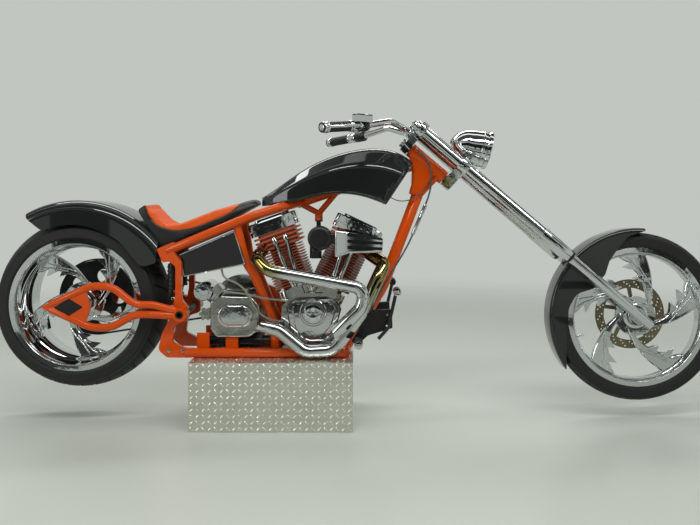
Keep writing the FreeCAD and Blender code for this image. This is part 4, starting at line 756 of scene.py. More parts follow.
def bevelled_slab(mesh: Any, centre: Vector, axes: tuple[Vector, Vector, Vector], size_mm: Triple,
                  edge_mm: float) -> None:
    """Adds a slab whose outer edges are broken.

    Args:
        mesh: the bmesh.
        centre: its middle.
        axes: its three unit directions, the last one outward.
        size_mm: its three sizes.
        edge_mm: width of the broken edge.
    """
    u, v, w = axes
    half = [size * MM / 2 for size in size_mm]
    e = edge_mm * MM
    rows = []
    for depth, inset in ((-half[2], 0.0), (half[2] - e, 0.0), (half[2], e)):
        a, b = half[0] - inset, half[1] - inset
        corner = min(3 * e, a * 0.6, b * 0.6)
        plan = [(a - corner, b), (-a + corner, b), (-a, b - corner), (-a, -b + corner),
                (-a + corner, -b), (a - corner, -b), (a, -b + corner), (a, b - corner)]
        rows.append([mesh.verts.new(centre + u * p + v * q + w * depth) for p, q in plan])
    loft(mesh, rows, True, True)


# ------------------------------------------------------------------ plinth
@dataclass
class Plinth:
    """Display box of folded tread plate."""

    pitch_mm: float = 23.0
    bar_length_mm: float = 20.0
    bar_width_mm: float = 5.2
    bar_height_mm: float = 1.2
    # a bar's outline, as shares of its half length and half width, and its crown's against its foot's
    outline: tuple[Pair, ...] = ((-1.0, 0.0), (-0.55, 0.8), (0.0, 1.0), (0.55, 0.8),
                                 (1.0, 0.0), (0.55, -0.8), (0.0, -1.0), (-0.55, -0.8))
    crown: Pair = (0.72, 0.45)

    def bar(self, mesh: Any, centre: Vector, along: Vector, out: Vector) -> None:
        """Adds one raised lens-shaped bar of the tread pattern.

        Args:
            mesh: the bmesh.
            centre: its middle on the sheet.
            along: its long direction.
            out: the sheet's outward normal.
        """
        side = out.cross(along).normalized()
        rings = []
        for (length, width), height in (((1.0, 1.0), 0.0), (self.crown, self.bar_height_mm)):
            half = along * (self.bar_length_mm / 2 * length * MM)
            wide = side * (self.bar_width_mm / 2 * width * MM)
            top = centre + out * (height * MM)
            rings.append([mesh.verts.new(top + half * a + wide * b) for a, b in self.outline])
        loft(mesh, rings, end=True)

    def build(self) -> None:
        """Dresses the box and lays the tread pattern on its five faces."""
        dress("plinth", TREAD_PLATE)
        middle, span = middle_of("plinth"), span_of("plinth")
        mesh = bmesh.new()
        axes = x, y, z = Vector((1, 0, 0)), Vector((0, 1, 0)), UP
        for u, v, out in ((0, 2, -y), (0, 2, y), (1, 2, x), (1, 2, -x), (0, 1, z)):
            columns, rows = int(span[u] / (self.pitch_mm * MM)), int(span[v] / (self.pitch_mm * MM))
            sheet_centre = middle + out * (abs(out.dot(span)) / 2)
            for i in range(columns):
                for j in range(rows):
                    spot = (axes[u] * ((i + 0.5) / columns - 0.5) * span[u]
                            + axes[v] * ((j + 0.5) / rows - 0.5) * span[v])
                    turn = 1 if (i + j) % 2 else -1
                    self.bar(mesh, sheet_centre + spot, (axes[u] + axes[v] * turn).normalized(), out)
        piece("plinth_tread", mesh, [TREAD_BAR], Body.FRAME, 60.0)


# ------------------------------------------------------------------ wheels
class Tread(Enum):
    """Groove layouts: a groove's width as a share of its repeat, and where it starts on the crown."""

    WIDE_REAR = (0.13, 0.16)
    RIBBED_FRONT = (0.16, 0.28)


@dataclass
class Tyre:
    """Tyre with a cut tread and moulded sidewall rings."""

    node: str
    body: Body
    tread: Tread
    foot_share: float
    repeats: int
    around: int = 720
    groove_mm: float = 4.5
    # the tread's edge, the grooves' lean, and the front tyre's ring groove, as shares of the crown
    tread_edge: float = 0.93
    lean: float = 0.9
    ring_at: float = 0.18
    ring_half_width: float = 0.05
    # the crown's half width and its drop at the shoulder, as shares of the tyre's half width
    crown_share: float = 0.80
    drop_share: float = 0.22
    roundness: float = 2.4
    crown_steps: int = 44
    wall_steps: int = 14
    # how far the wall swells from a straight line towards the full width, and the least it stays inside
    wall_swell: float = 0.95
    wall_inside_mm: float = 0.5
    foot_above_rim_mm: float = 2.5
    # the foot's widest place, as a share of the tyre's half width
    foot_widest: float = 0.93
    # the hidden lip inside the foot: how far inward and down
    lip_mm: Pair = (6.0, 4.0)
    ridge_steps: tuple[int, ...] = (3, 10, 12)
    ridge_mm: float = 0.8

    def grooved(self, share: float, turn: float) -> bool:
        """Whether the tread is cut at one spot.

        Args:
            share: place across the crown, from -1 to 1.
            turn: angle round the tyre in radians.

        Returns:
            True in a groove.
        """
        wide = abs(share)
        if wide > self.tread_edge:
            return False
        width, start = self.tread.value
        phase = (turn * self.repeats / (2 * math.pi) + (0.5 if share >= 0 else 0.0) - wide * self.lean) % 1.0
        if wide > start and abs(phase - 0.5) < width / 2:
            return True
        return self.tread is Tread.RIBBED_FRONT and abs(wide - self.ring_at) < self.ring_half_width

    def section(self) -> list[Triple]:
        """Works out the tyre's section, from one foot over the crown to the other.

        Returns:
            Distance aside, radius and place across the crown of each point, which is 2 off the crown.
        """
        radius, half = span_of(self.node).x / 2, span_of(self.node).y / 2
        rim = span_of(self.node.replace("tyre", "rim"))
        crown_half, drop = half * self.crown_share, half * self.drop_share
        shares = [-1 + 2 * i / self.crown_steps for i in range(self.crown_steps + 1)]
        crown = [(crown_half * s, radius - drop * abs(s) ** self.roundness, s) for s in shares]
        shoulder = radius - drop
        foot_r = rim.x / 2 + self.foot_above_rim_mm * MM
        foot_y = min(rim.y / 2 * self.foot_share, half * self.foot_widest)
        wall = []
        for i in range(1, self.wall_steps + 1):
            t = i / self.wall_steps
            # largest about two fifths of the way down
            bulge = math.sin(math.pi * (0.28 + 0.52 * t)) * (1 - abs(2 * t - 0.7) * 0.25)
            base = crown_half + (foot_y - crown_half) * t
            y = min(half - self.wall_inside_mm * MM, base + (half - crown_half) * self.wall_swell * bulge)
            ridge = self.ridge_mm * MM if i in self.ridge_steps else 0.0
            wall.append((y + ridge, shoulder + (foot_r - shoulder) * t, 2.0))
        inward, down = self.lip_mm
        wall.append((foot_y - inward * MM, foot_r - down * MM, 2.0))
        return [(-y, r, s) for y, r, s in reversed(wall)] + crown + wall

    def build(self) -> None:
        """Makes the tyre in the CAD one's place and hides that."""
        centre = middle_of(self.node)
        section = self.section()
        mesh = bmesh.new()
        columns = []
        for i in range(self.around):
            turn = 2 * math.pi * i / self.around
            column = []
            for y, r, share in section:
                if abs(share) <= 1 and self.grooved(share, turn):
                    r -= self.groove_mm * MM
                column.append(mesh.verts.new(centre + Vector((r * math.cos(turn), y, r * math.sin(turn)))))
            columns.append(column)
        for a, b in zip(columns, columns[1:] + columns[:1]):
            for j in range(len(section) - 1):
                mesh.faces.new((a[j], b[j], b[j + 1], a[j + 1]))
        tyre = piece(self.node + "_treaded", mesh, [TYRE_RUBBER], self.body, 30.0)
        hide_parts(self.node)


@dataclass
class Rim:
    """One bladed wheel's cap, ribs and valve."""

    node: str
    body: Body
    barrel_mm: float
    first_blade_deg: float
    valve_deg: float
    hub_mm: float = 82.0
    cap_screws_mm: float = 62.0
    cap_mm: float = 36.5
    blades: int = 5
    rib_mm: float = 3.4
    rib_sunk_mm: float = 1.2
    # how far from the wheel's middle plane a blade's face can be
    blade_reach_mm: float = 35.0
    # along each blade: share of the way to the barrel, and degrees behind the blade's tip
    ribs: tuple[tuple[Pair, ...], ...] = (
        ((0.06, -60), (0.24, -37), (0.42, -20.5), (0.62, -8), (0.93, 1)),
        ((0.40, -15.5), (0.52, -9), (0.66, -2), (0.80, 3), (0.95, 9)))

    def cap(self) -> None:
        """Adds the hub's cover ring and its screws."""
        hub = middle_of(self.node)
        places = ring_places((hub.x * 1000, hub.z * 1000), self.cap_screws_mm, 10, 18)
        screws_on(self.node + "_screws", self.node, places, 11.0, 6.0, self.body)
        face, _ = skin_of(self.node).flank(hub.x * 1000 + 50, hub.z * 1000, -1)
        mesh = bmesh.new()
        profile = [(h, self.cap_mm + r) for h, r in ((0, 0), (5, 0), (7, 2), (7, 8), (3, 14), (0, 14))]
        turned(mesh, Vector((hub.x, face.y + SUNK, hub.z)), Vector((0, -1, 0)), profile, 64, False, False)
        piece(self.node + "_hub_ring", mesh, [CHROME], self.body)

    def blade_ribs(self) -> None:
        """Raises two ribs along each blade, on both of its faces."""
        hub = middle_of(self.node) * 1000
        skin = skin_of(self.node)
        mesh = bmesh.new()
        for side in SIDES:
            for blade in range(self.blades):
                for rib in self.ribs:
                    places = []
                    for share, behind in rib:
                        reach = self.hub_mm + (self.barrel_mm - self.hub_mm) * share
                        turn = math.radians(self.first_blade_deg + 360 / self.blades * blade + behind)
                        places.append((hub.x + reach * math.cos(turn), 0.0, hub.z + reach * math.sin(turn)))
                    line = [(spot.x * 1000, spot.z * 1000) for spot in smooth_line(places, 4)]
                    seats = [place - normal * (self.rib_sunk_mm * MM)
                             for place, normal in skin.along(line, side)
                             if abs(place.y * 1000 - hub.y) < self.blade_reach_mm]
                    if len(seats) > 3:
                        swept(mesh, seats, self.rib_mm * MM)
        piece(self.node + "_ribs", mesh, [CHROME], self.body, 60.0)

    def valve(self) -> None:
        """Adds the tyre valve in the rim's barrel."""
        turn = math.radians(self.valve_deg)
        out = Vector((math.cos(turn), 0, math.sin(turn)))
        mesh = bmesh.new()
        turned(mesh, middle_of(self.node) + out * (self.barrel_mm - 1) * MM, -out,
               [(0, 7), (3, 7), (4, 4), (16, 4), (17, 4.6), (26, 4.6), (28, 3.4)], 16)
        piece(self.node + "_valve", mesh, [STEEL], self.body)


@dataclass
class Wheels:
    """Both wheels with their discs and drives."""

    blade_edge_mm: float = 2.5
    hole_rows_mm: tuple[float, ...] = (118.0, 127.0, 136.0)
    hole_groups: int = 20
    hole_slant_deg: float = 5.0
    hole_radius_mm: float = 3.4

    def build(self) -> None:
        """Dresses the rims, discs and pulleys and fits the tyres."""
        Tyre("rear_tyre", Body.REAR_WHEEL, Tread.WIDE_REAR, 0.93, 36).build()
        Tyre("front_tyre", Body.FRONT_WHEEL, Tread.RIBBED_FRONT, 0.72, 48).build()
        dress("front_rim rear_rim", CHROME, self.blade_edge_mm)
        self.drilled_rotor()
        dress("rear_pulley front_pulley", DARK_STEEL, 1.0)
        dress("drive_belt", BELT)
        dress("rear_axle front_axle", STEEL, 0.8)
        dress("pivot_shaft", BLACK_SATIN, 0.8)
        rims = (Rim("front_rim", Body.FRONT_WHEEL, 256.0, 90.0, 200.0),
                Rim("rear_rim", Body.REAR_WHEEL, 226.0, 60.0, 128.0))
        for step in (Rim.cap, Rim.blade_ribs, Rim.valve):
            for rim in rims:
                step(rim)

    def drilled_rotor(self) -> None:
        """Finishes the brake disc and drills its slanted groups of holes."""
        hub, span = middle_of("front_rotor"), span_of("front_rotor")
        dress("front_rotor", SpunMetal("steel_disc_bronzed", "#8A8069", metallic=1.0, roughness=0.34,
                                       axis_x=hub.x, axis_z=hub.z))
        mesh = bmesh.new()
        depth_mm = span.y * 1000 + 10
        hole = [(0, self.hole_radius_mm), (depth_mm, self.hole_radius_mm)]
        for group in range(self.hole_groups):
            for row, radius in enumerate(self.hole_rows_mm):
                turn = math.radians(360 * group / self.hole_groups + row * self.hole_slant_deg)
                spot = hub + Vector((radius * math.cos(turn), -depth_mm / 2, radius * math.sin(turn))) * MM
                turned(mesh, spot, Vector((0, 1, 0)), hole, 12)
        drill = add_object("rotor_drill", mesh_data("rotor_drill", mesh))
        drill.hide_render = drill.hide_viewport = True
        modify(NODES["front_rotor"], "drilled", "BOOLEAN", operation="DIFFERENCE", object=drill)


# ------------------------------------------------------------------ frame, engine, front end
@dataclass
class Chassis:
    """Painted frame, swingarm, tank, fenders and what is bolted to them."""

    bead_mm: float = 3.0
    # the bead's way along the tank: above the skirt's edge, then up the nose by ahead and height
    bead_above_mm: float = 7.0
    skirt: range = range(-376, 97, 12)
    # heights between which the skirt's edge lies; the tail's flank is lower, so its search starts lower
    flank_mm: float = 925.0
    tail_flank_mm: float = 895.0
    tail_ends_x: float = -330.0
    under_skirt_mm: float = 780.0
    nose: tuple[Pair, ...] = ((101, 886), (106, 899), (128, 934), (152, 972), (172, 1005), (183, 1028))
    # corners of the oil tank's flank: ahead and height
    oil_tank_rim: tuple[Pair, ...] = ((-727, 676), (-508, 771), (-465, 640), (-709, 591))

    def build(self) -> None:
        """Dresses the painted pieces and adds their bolts."""
        dress("frame_backbone frame_downtube frame_cradle frame_seat_rails frame_uprights frame_seat_posts "
              "swingarm", ORANGE, 1.5)
        dress("fuel_tank", CHARCOAL, 3.0)
        dress("rear_fender", CHARCOAL, 1.0)
        dress("oil_tank", BLACK_GLOSS, 2.0)
        dress("axle_plates", BLACK_GLOSS, 1.0)
        dress("rear_dampers belly_dampers", BLACK_SATIN, 1.0)
        screws_on("corner_plate_bolts", "frame_uprights", [(-761, 298), (-707, 298)], 15.0, 7.0, sides=SIDES)
        screws_on("damper_pins", "rear_dampers", [(-783, 650), (-760, 500)], 13.0, 5.0, sides=SIDES)
        self.tank_beads()
        self.oil_tank_trim()

    def tank_beads(self) -> None:
        """Runs the rolled bead along the skirt and up the nose of the tank."""
        skin = skin_of("fuel_tank")
        mesh = bmesh.new()
        for side in SIDES:
            way = []
            for x in self.skirt:
                high = self.flank_mm if x > self.tail_ends_x else self.tail_flank_mm
                way.append((x, skin.lowest(x, side, high, self.under_skirt_mm) + self.bead_above_mm))
            way += self.nose
            swept(mesh, [place for place, _ in skin.along(way, side)], self.bead_mm * MM)
        piece("fuel_tank_beads", mesh, [CHARCOAL], Body.FRAME, 60.0)

    def oil_tank_trim(self) -> None:
        """Lays the polished edging round the oil tank's flanks."""
        skin = skin_of("oil_tank")
        mesh = bmesh.new()
        for side in SIDES:
            corners = [place for place, _ in skin.along(self.oil_tank_rim, side)]
            out = Vector((0, side, 0))
            for start, end in zip(corners, corners[1:] + corners[:1]):
                along = (end - start).normalized()
                bevelled_slab(mesh, (start + end) / 2 + out * 0.0006, (along, out.cross(along), out),
                              ((end - start).length * 1000 + 3, 3.6, 2.4), 0.8)
        piece("oil_tank_trim", mesh, [CHROME], Body.FRAME)


@dataclass
class Engine:
    """Engine, gearbox, inlet and exhaust."""

    crank: Pair = (-205.0, 373.0)
    points_cover: Pair = (-189.0, 447.0)
    clutch_shaft: Pair = (-520.0, 452.0)
    # rocker box bolts: pitch, first and last one's distance from the ends, and the wall they need
    bolt_pitch_mm: int = 26
    bolt_margins_mm: tuple[int, int] = (20, 10)
    least_wall_steps: int = 8
    wall_step_mm: int = 2
    least_facing: float = 0.9

    def build(self) -> None:
        """Dresses the castings and pipes and adds their screws."""
        dress("crankcase gearbox primary_cover drive_spacer lifter_blocks", CASE_METAL, 1.5)
        dress("rocker_boxes cam_cover gearbox_cover starter_motor pushrod_tubes", CHROME, 1.5)
        plate = {"colour": CHROME.colour, "metallic": 1.0, "roughness": 0.05}
        dress("air_cleaner", FlutedChrome("chrome_plate_inlaid", **plate), 1.5)
        # the fins' lighter rims are a painted highlight, and their darker faces between them painted shade
        dress("cylinders cylinder_heads",
              FinEnamel("enamel_fins_rust_red", "#6A2412", roughness=0.45, coat=0.2, lean_deg=3.0))
        dress("carburettor", BLACK_SATIN, 1.5)
        for node, port, reach in (("exhaust_rear", (-0.420, -0.19, 0.672), 150.0),
                                  ("exhaust_front", (0.020, -0.05, 0.700), 310.0)):
            tinted = HeatTintedChrome("chrome_heat_tinted_" + node, port=port, reach_mm=reach, **plate)
            dress(node, tinted, 0.8)
        self.right_screws()
        self.left_screws()
        self.rocker_bolts()

    def right_screws(self) -> None:
        """Adds the screws of the gear cover, the points cover and the gearbox cover."""
        x, z = self.crank
        edge = [(-86, 96), (-50, 119), (22, 124), (86, 124), (120, 94), (104, 40), (46, -36), (-34, -40),
                (-68, 26)]
        screws_on("gear_cover_screws", "cam_cover", [(x + a, z + b) for a, b in edge], 10.0, 5.5)
        screws_on("points_cover_screws", "cam_cover", ring_places(self.points_cover, 29.0, 5, 90), 6.5, 3.0)
        rim = [(-567, 432), (-437, 432), (-532, 471), (-472, 471), (-532, 393), (-472, 393)]
        screws_on("gearbox_cover_screws", "gearbox_cover", rim, 8.0, 4.5)

    def left_screws(self) -> None:
        """Adds the screws of the primary cover and its round clutch lid."""
        front = ring_places(self.crank, 70.0, 9, -100)[:5]
        rear = ring_places(self.clutch_shaft, 108.0, 12, 75)[:8]
        bridge_row = [(-330, 470), (-400, 497), (-300, 322), (-390, 328)]
        lid = ring_places(self.clutch_shaft, 64.0, 5, 90)
        screws_on("primary_cover_screws", "primary_cover", front + rear + bridge_row, 10.0, 6.0, sides=(1,))
        screws_on("clutch_lid_screws", "primary_cover", lid, 9.0, 5.0, sides=(1,))

    def rocker_bolts(self) -> None:
        """Adds the rocker box bolts along both flanks."""
        low, high = (Vector(c) * 1000 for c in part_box("rocker_boxes"))
        first, last = self.bolt_margins_mm
        skin = skin_of("rocker_boxes")
        mesh = bmesh.new()
        for side in SIDES:
            for x in range(int(low.x) + first, int(high.x) - last, self.bolt_pitch_mm):
                heights = range(int(low.z), int(high.z), self.wall_step_mm)
                there = [z for z in heights if skin.flank(x, z, side)]
                if len(there) < self.least_wall_steps:
                    continue
                # only where the box has a wall that faces square to the side
                found = skin.flank(x, (there[0] + there[-1]) / 2 - self.wall_step_mm, side)
                if found and abs(found[1].y) > self.least_facing:
                    socket_screw(mesh, found[0] - found[1] * SUNK, found[1], 8.0, 4.0)
        piece("rocker_box_screws", mesh, [CHROME], Body.FRAME)


@dataclass
class FootControls:
    """Forward controls with their pegs."""

    peg: Pair = (-8.0, 340.0)
    pad: Pair = (142.0, 540.0)
    screws: tuple[Pair, ...] = ((24, 438), (108, 440), (104, 402))
    # how far from the middle plane the peg's and the pad's outer ends and the rubber's inner end are
    peg_end_mm: float = 265.5
    pad_end_mm: float = 235.5
    rubber_from_mm: float = 172.0

    def build(self) -> None:
        """Dresses both brackets and adds the peg ends and rubber sleeves."""
        dress("foot_control_right foot_control_left", BLACK_SATIN, 1.5)
        for side, word in ((-1, "right"), (1, "left")):
            out = Vector((0, side, 0))
            mesh = bmesh.new()
            turned(mesh, Vector((self.peg[0], side * self.peg_end_mm, self.peg[1])) * MM, out,
                   [(0, 16), (5, 16), (8, 14), (9.5, 9), (10, 2)], 32)
            turned(mesh, Vector((self.pad[0], side * self.pad_end_mm, self.pad[1])) * MM, out,
                   [(0, 15.6), (3, 15), (4, 11)], 32)
            piece("peg_ends_" + word, mesh, [CHROME], Body.FRAME)
            mesh = bmesh.new()
            ribs = ribbed(9, 10, ((0, 16.6), (6, 16.6), (6.8, 15.6), (9.2, 15.6)))
            turned(mesh, Vector((self.peg[0], side * self.rubber_from_mm, self.peg[1])) * MM, out, ribs, 32)
            piece("peg_rubber_" + word, mesh, [GRIP], Body.FRAME)
        screws_on("foot_control_screws", "foot_control_right", self.screws, 11.0, 5.0)
        screws_on("foot_control_screws_left", "foot_control_left", self.screws, 11.0, 5.0, sides=(1,))


@dataclass
class FrontEnd:
    """Fork, bars, headlight and front fender."""

    rake_deg: float = 49.5
    axle: Triple = (1139.994, 0.0, 416.005)
    reach_mm: float = 950.8
    clamp_spread_mm: float = 225.2
    leg_spacing_mm: float = 98.0
    cap_above_mm: float = 37.0
    wiper_at_mm: float = 392.0
    lamp_tail: Triple = (372.0, 0.0, 1142.0)
    lamp_axis: Triple = (0.970, 0.0, -0.242)
    bar_end: Triple = (-128.0, 376.0, 1165.0)
    bar_inner: Triple = (20.0, 250.0, 1184.0)
    # along the bar from its tip: grip, inner collar, switch housing, its two buttons, and the lid
    sleeve_at_mm: float = 7.0
    collar_at_mm: float = 108.0
    housing_at_mm: float = 150.5
    buttons_at_mm: Pair = (160.0, 183.0)
    lid_at_mm: float = 161.0
    lid_ahead_mm: float = 20.0
    lid_above_mm: float = 39.0
    lid_size_mm: Triple = (77.0, 37.0, 4.5)
    lid_screw_mm: float = 30.0

    def up(self) -> Vector:
        """Direction up the fork legs."""
        a = math.radians(self.rake_deg)
        return Vector((-math.sin(a), 0, math.cos(a)))

    def leg(self, along_mm: float, across_mm: float = 0.0) -> Vector:
        """A place on the fork, by distance up from the axle and to the rider's left."""
        return (Vector(self.axle) + self.up() * along_mm + Vector((0, across_mm, 0))) * MM

    def build(self) -> None:
        """Dresses everything that steers."""
        dress("triple_clamps fork_uppers fork_lowers fender_stays front_caliper headlight handlebar "
              "hand_controls", CHROME, 1.2)
        dress("front_fender", CHARCOAL, 0.8)
        dress("grips", GRIP, 1.0)
        dress("headlight_lens", LAMP_GLASS)
        self.clamp_bolts()
        self.leg_rings()
        self.headlight_fittings()
        for side, word in ((-1, "right"), (1, "left")):
            self.bar_fittings(side, word)

    def clamp_bolts(self) -> None:
        """Adds the pinch bolts and the fork caps."""
        skin = skin_of("triple_clamps")
        top_clamp = self.reach_mm + self.clamp_spread_mm
        mesh = bmesh.new()
        for side in SIDES:
            out = Vector((0, side, 0))
            middles = [tuple(self.leg(at).xz * 1000) for at in (self.reach_mm, top_clamp)]
            for place, _ in skin.along(middles, side):
                socket_screw(mesh, place - out * 0.001, out, 15.0, 6.0)
            cap = self.leg(top_clamp + self.cap_above_mm, side * self.leg_spacing_mm)
            hex_nut(mesh, cap, self.up(), 24.0, 7.0)
        piece("clamp_bolts", mesh, [CHROME], Body.STEERING)

    def leg_rings(self) -> None:
        """Adds the dust wiper and clip at the foot of each upper tube."""
        profile = [(0, 20.8), (0, 27.5), (-4, 27.5), (-6, 25.5), (-11, 25), (-13, 22.5), (-13, 20.8)]
        mesh = bmesh.new()
        for side in SIDES:
            seat = self.leg(self.wiper_at_mm, side * self.leg_spacing_mm)
            turned(mesh, seat, self.up(), profile, 40, False, False)
        piece("fork_dust_wipers", mesh, [BLACK_SATIN], Body.STEERING)

    def headlight_fittings(self) -> None:
        """Adds the headlight's bezel ring, seam band, reflector and bulb."""
        tail, axis = Vector(self.lamp_tail) * MM, Vector(self.lamp_axis).normalized()
        mesh = bmesh.new()
        bezel = [(150, 75.2), (151, 78.5), (156, 79.6), (165, 79), (168, 76.5), (168.5, 70), (166.2, 68.6)]
        band = [(129, 74.6), (130, 77), (133, 77.4), (136, 77), (137, 75.1)]
        for profile in (bezel, band):
            turned(mesh, tail, axis, profile, 72, False, False)
        piece("headlight_bezel", mesh, [CHROME], Body.STEERING)
        mesh = bmesh.new()
        bowl = [(102.5, 0.3), (103.5, 8), (108, 22), (118, 40), (130, 54), (142, 63), (153, 66.5)]
        turned(mesh, tail, axis, bowl, 48, end=False)
        turned(mesh, tail + axis * 0.104, axis, [(0, 8), (4, 8), (5, 5.5), (22, 5.5), (26, 3)], 20)
        piece("headlight_reflector", mesh, [REFLECTOR], Body.STEERING)

    def bar_fittings(self, side: int, word: str) -> None:
        """Adds switch housing, lid, collars and ribbed sleeve at one end of the bar.

        Args:
            side: -1 for the rider's right, 1 for the left.
            word: the same for the pieces' names.
        """
        tip, inner = (Vector((x, side * y, z)) for x, y, z in (self.bar_end, self.bar_inner))
        inward = (inner - tip).normalized()
        ahead = inward.cross(UP).normalized()
        ahead = ahead if ahead.x > 0 else -ahead
        over = ahead.cross(inward).normalized()
        over = over if over.z > 0 else -over
        mesh = bmesh.new()
        turned(mesh, (tip + inward * self.housing_at_mm) * MM, inward,
               [(0, 20), (0, 22.2), (1.5, 23), (21, 23), (21.4, 22.2), (22.6, 22.2), (23, 23), (44, 23),
                (46, 21.8), (46, 20)], 32)
        for button in self.buttons_at_mm:
            spot = tip + inward * button - ahead * 22
            bevelled_slab(mesh, spot * MM, (inward, over, -ahead), (9, 12, 5), 1.2)
        piece("switch_housing_" + word, mesh, [BLACK_SATIN], Body.STEERING)

        lid = tip + inward * self.lid_at_mm + ahead * self.lid_ahead_mm + UP * self.lid_above_mm
        flat_in = Vector((inward.x, inward.y, 0)).normalized()
        mesh = bmesh.new()
        bevelled_slab(mesh, lid * MM, (flat_in, UP.cross(flat_in), UP), self.lid_size_mm, 1.4)
        piece("reservoir_lid_" + word, mesh, [BLACK_GLOSS], Body.STEERING)

        mesh = bmesh.new()
        for end in SIDES:
            socket_screw(mesh, (lid + flat_in * (end * self.lid_screw_mm) + UP * 2) * MM, UP, 6.0, 2.2)
        collar = [(0, 18.6), (0, 21), (2, 22), (7, 22), (9, 21), (9, 18.6)]
        turned(mesh, (tip + inward * self.collar_at_mm) * MM, inward, collar, 32)
        turned(mesh, (tip - inward * 2) * MM, inward, [(h * 0.8, r) for h, r in collar], 32)
        cap = [(0, 19.6), (2, 20.8), (12, 21), (17.5, 19.8), (21.5, 16.4), (24, 10.5), (25, 4), (25.1, 0.5)]
        turned(mesh, (tip + inward) * MM, -inward, cap, 32)
        piece("grip_collars_" + word, mesh, [CHROME], Body.STEERING)

        mesh = bmesh.new()
        ribs = ribbed(11, 9, ((0, 19.4), (5.5, 19.4), (6.3, 18.6), (8.2, 18.6)))
        turned(mesh, (tip + inward * self.sleeve_at_mm) * MM, inward, ribs, 32)
        piece("grip_sleeve_" + word, mesh, [GRIP], Body.STEERING)


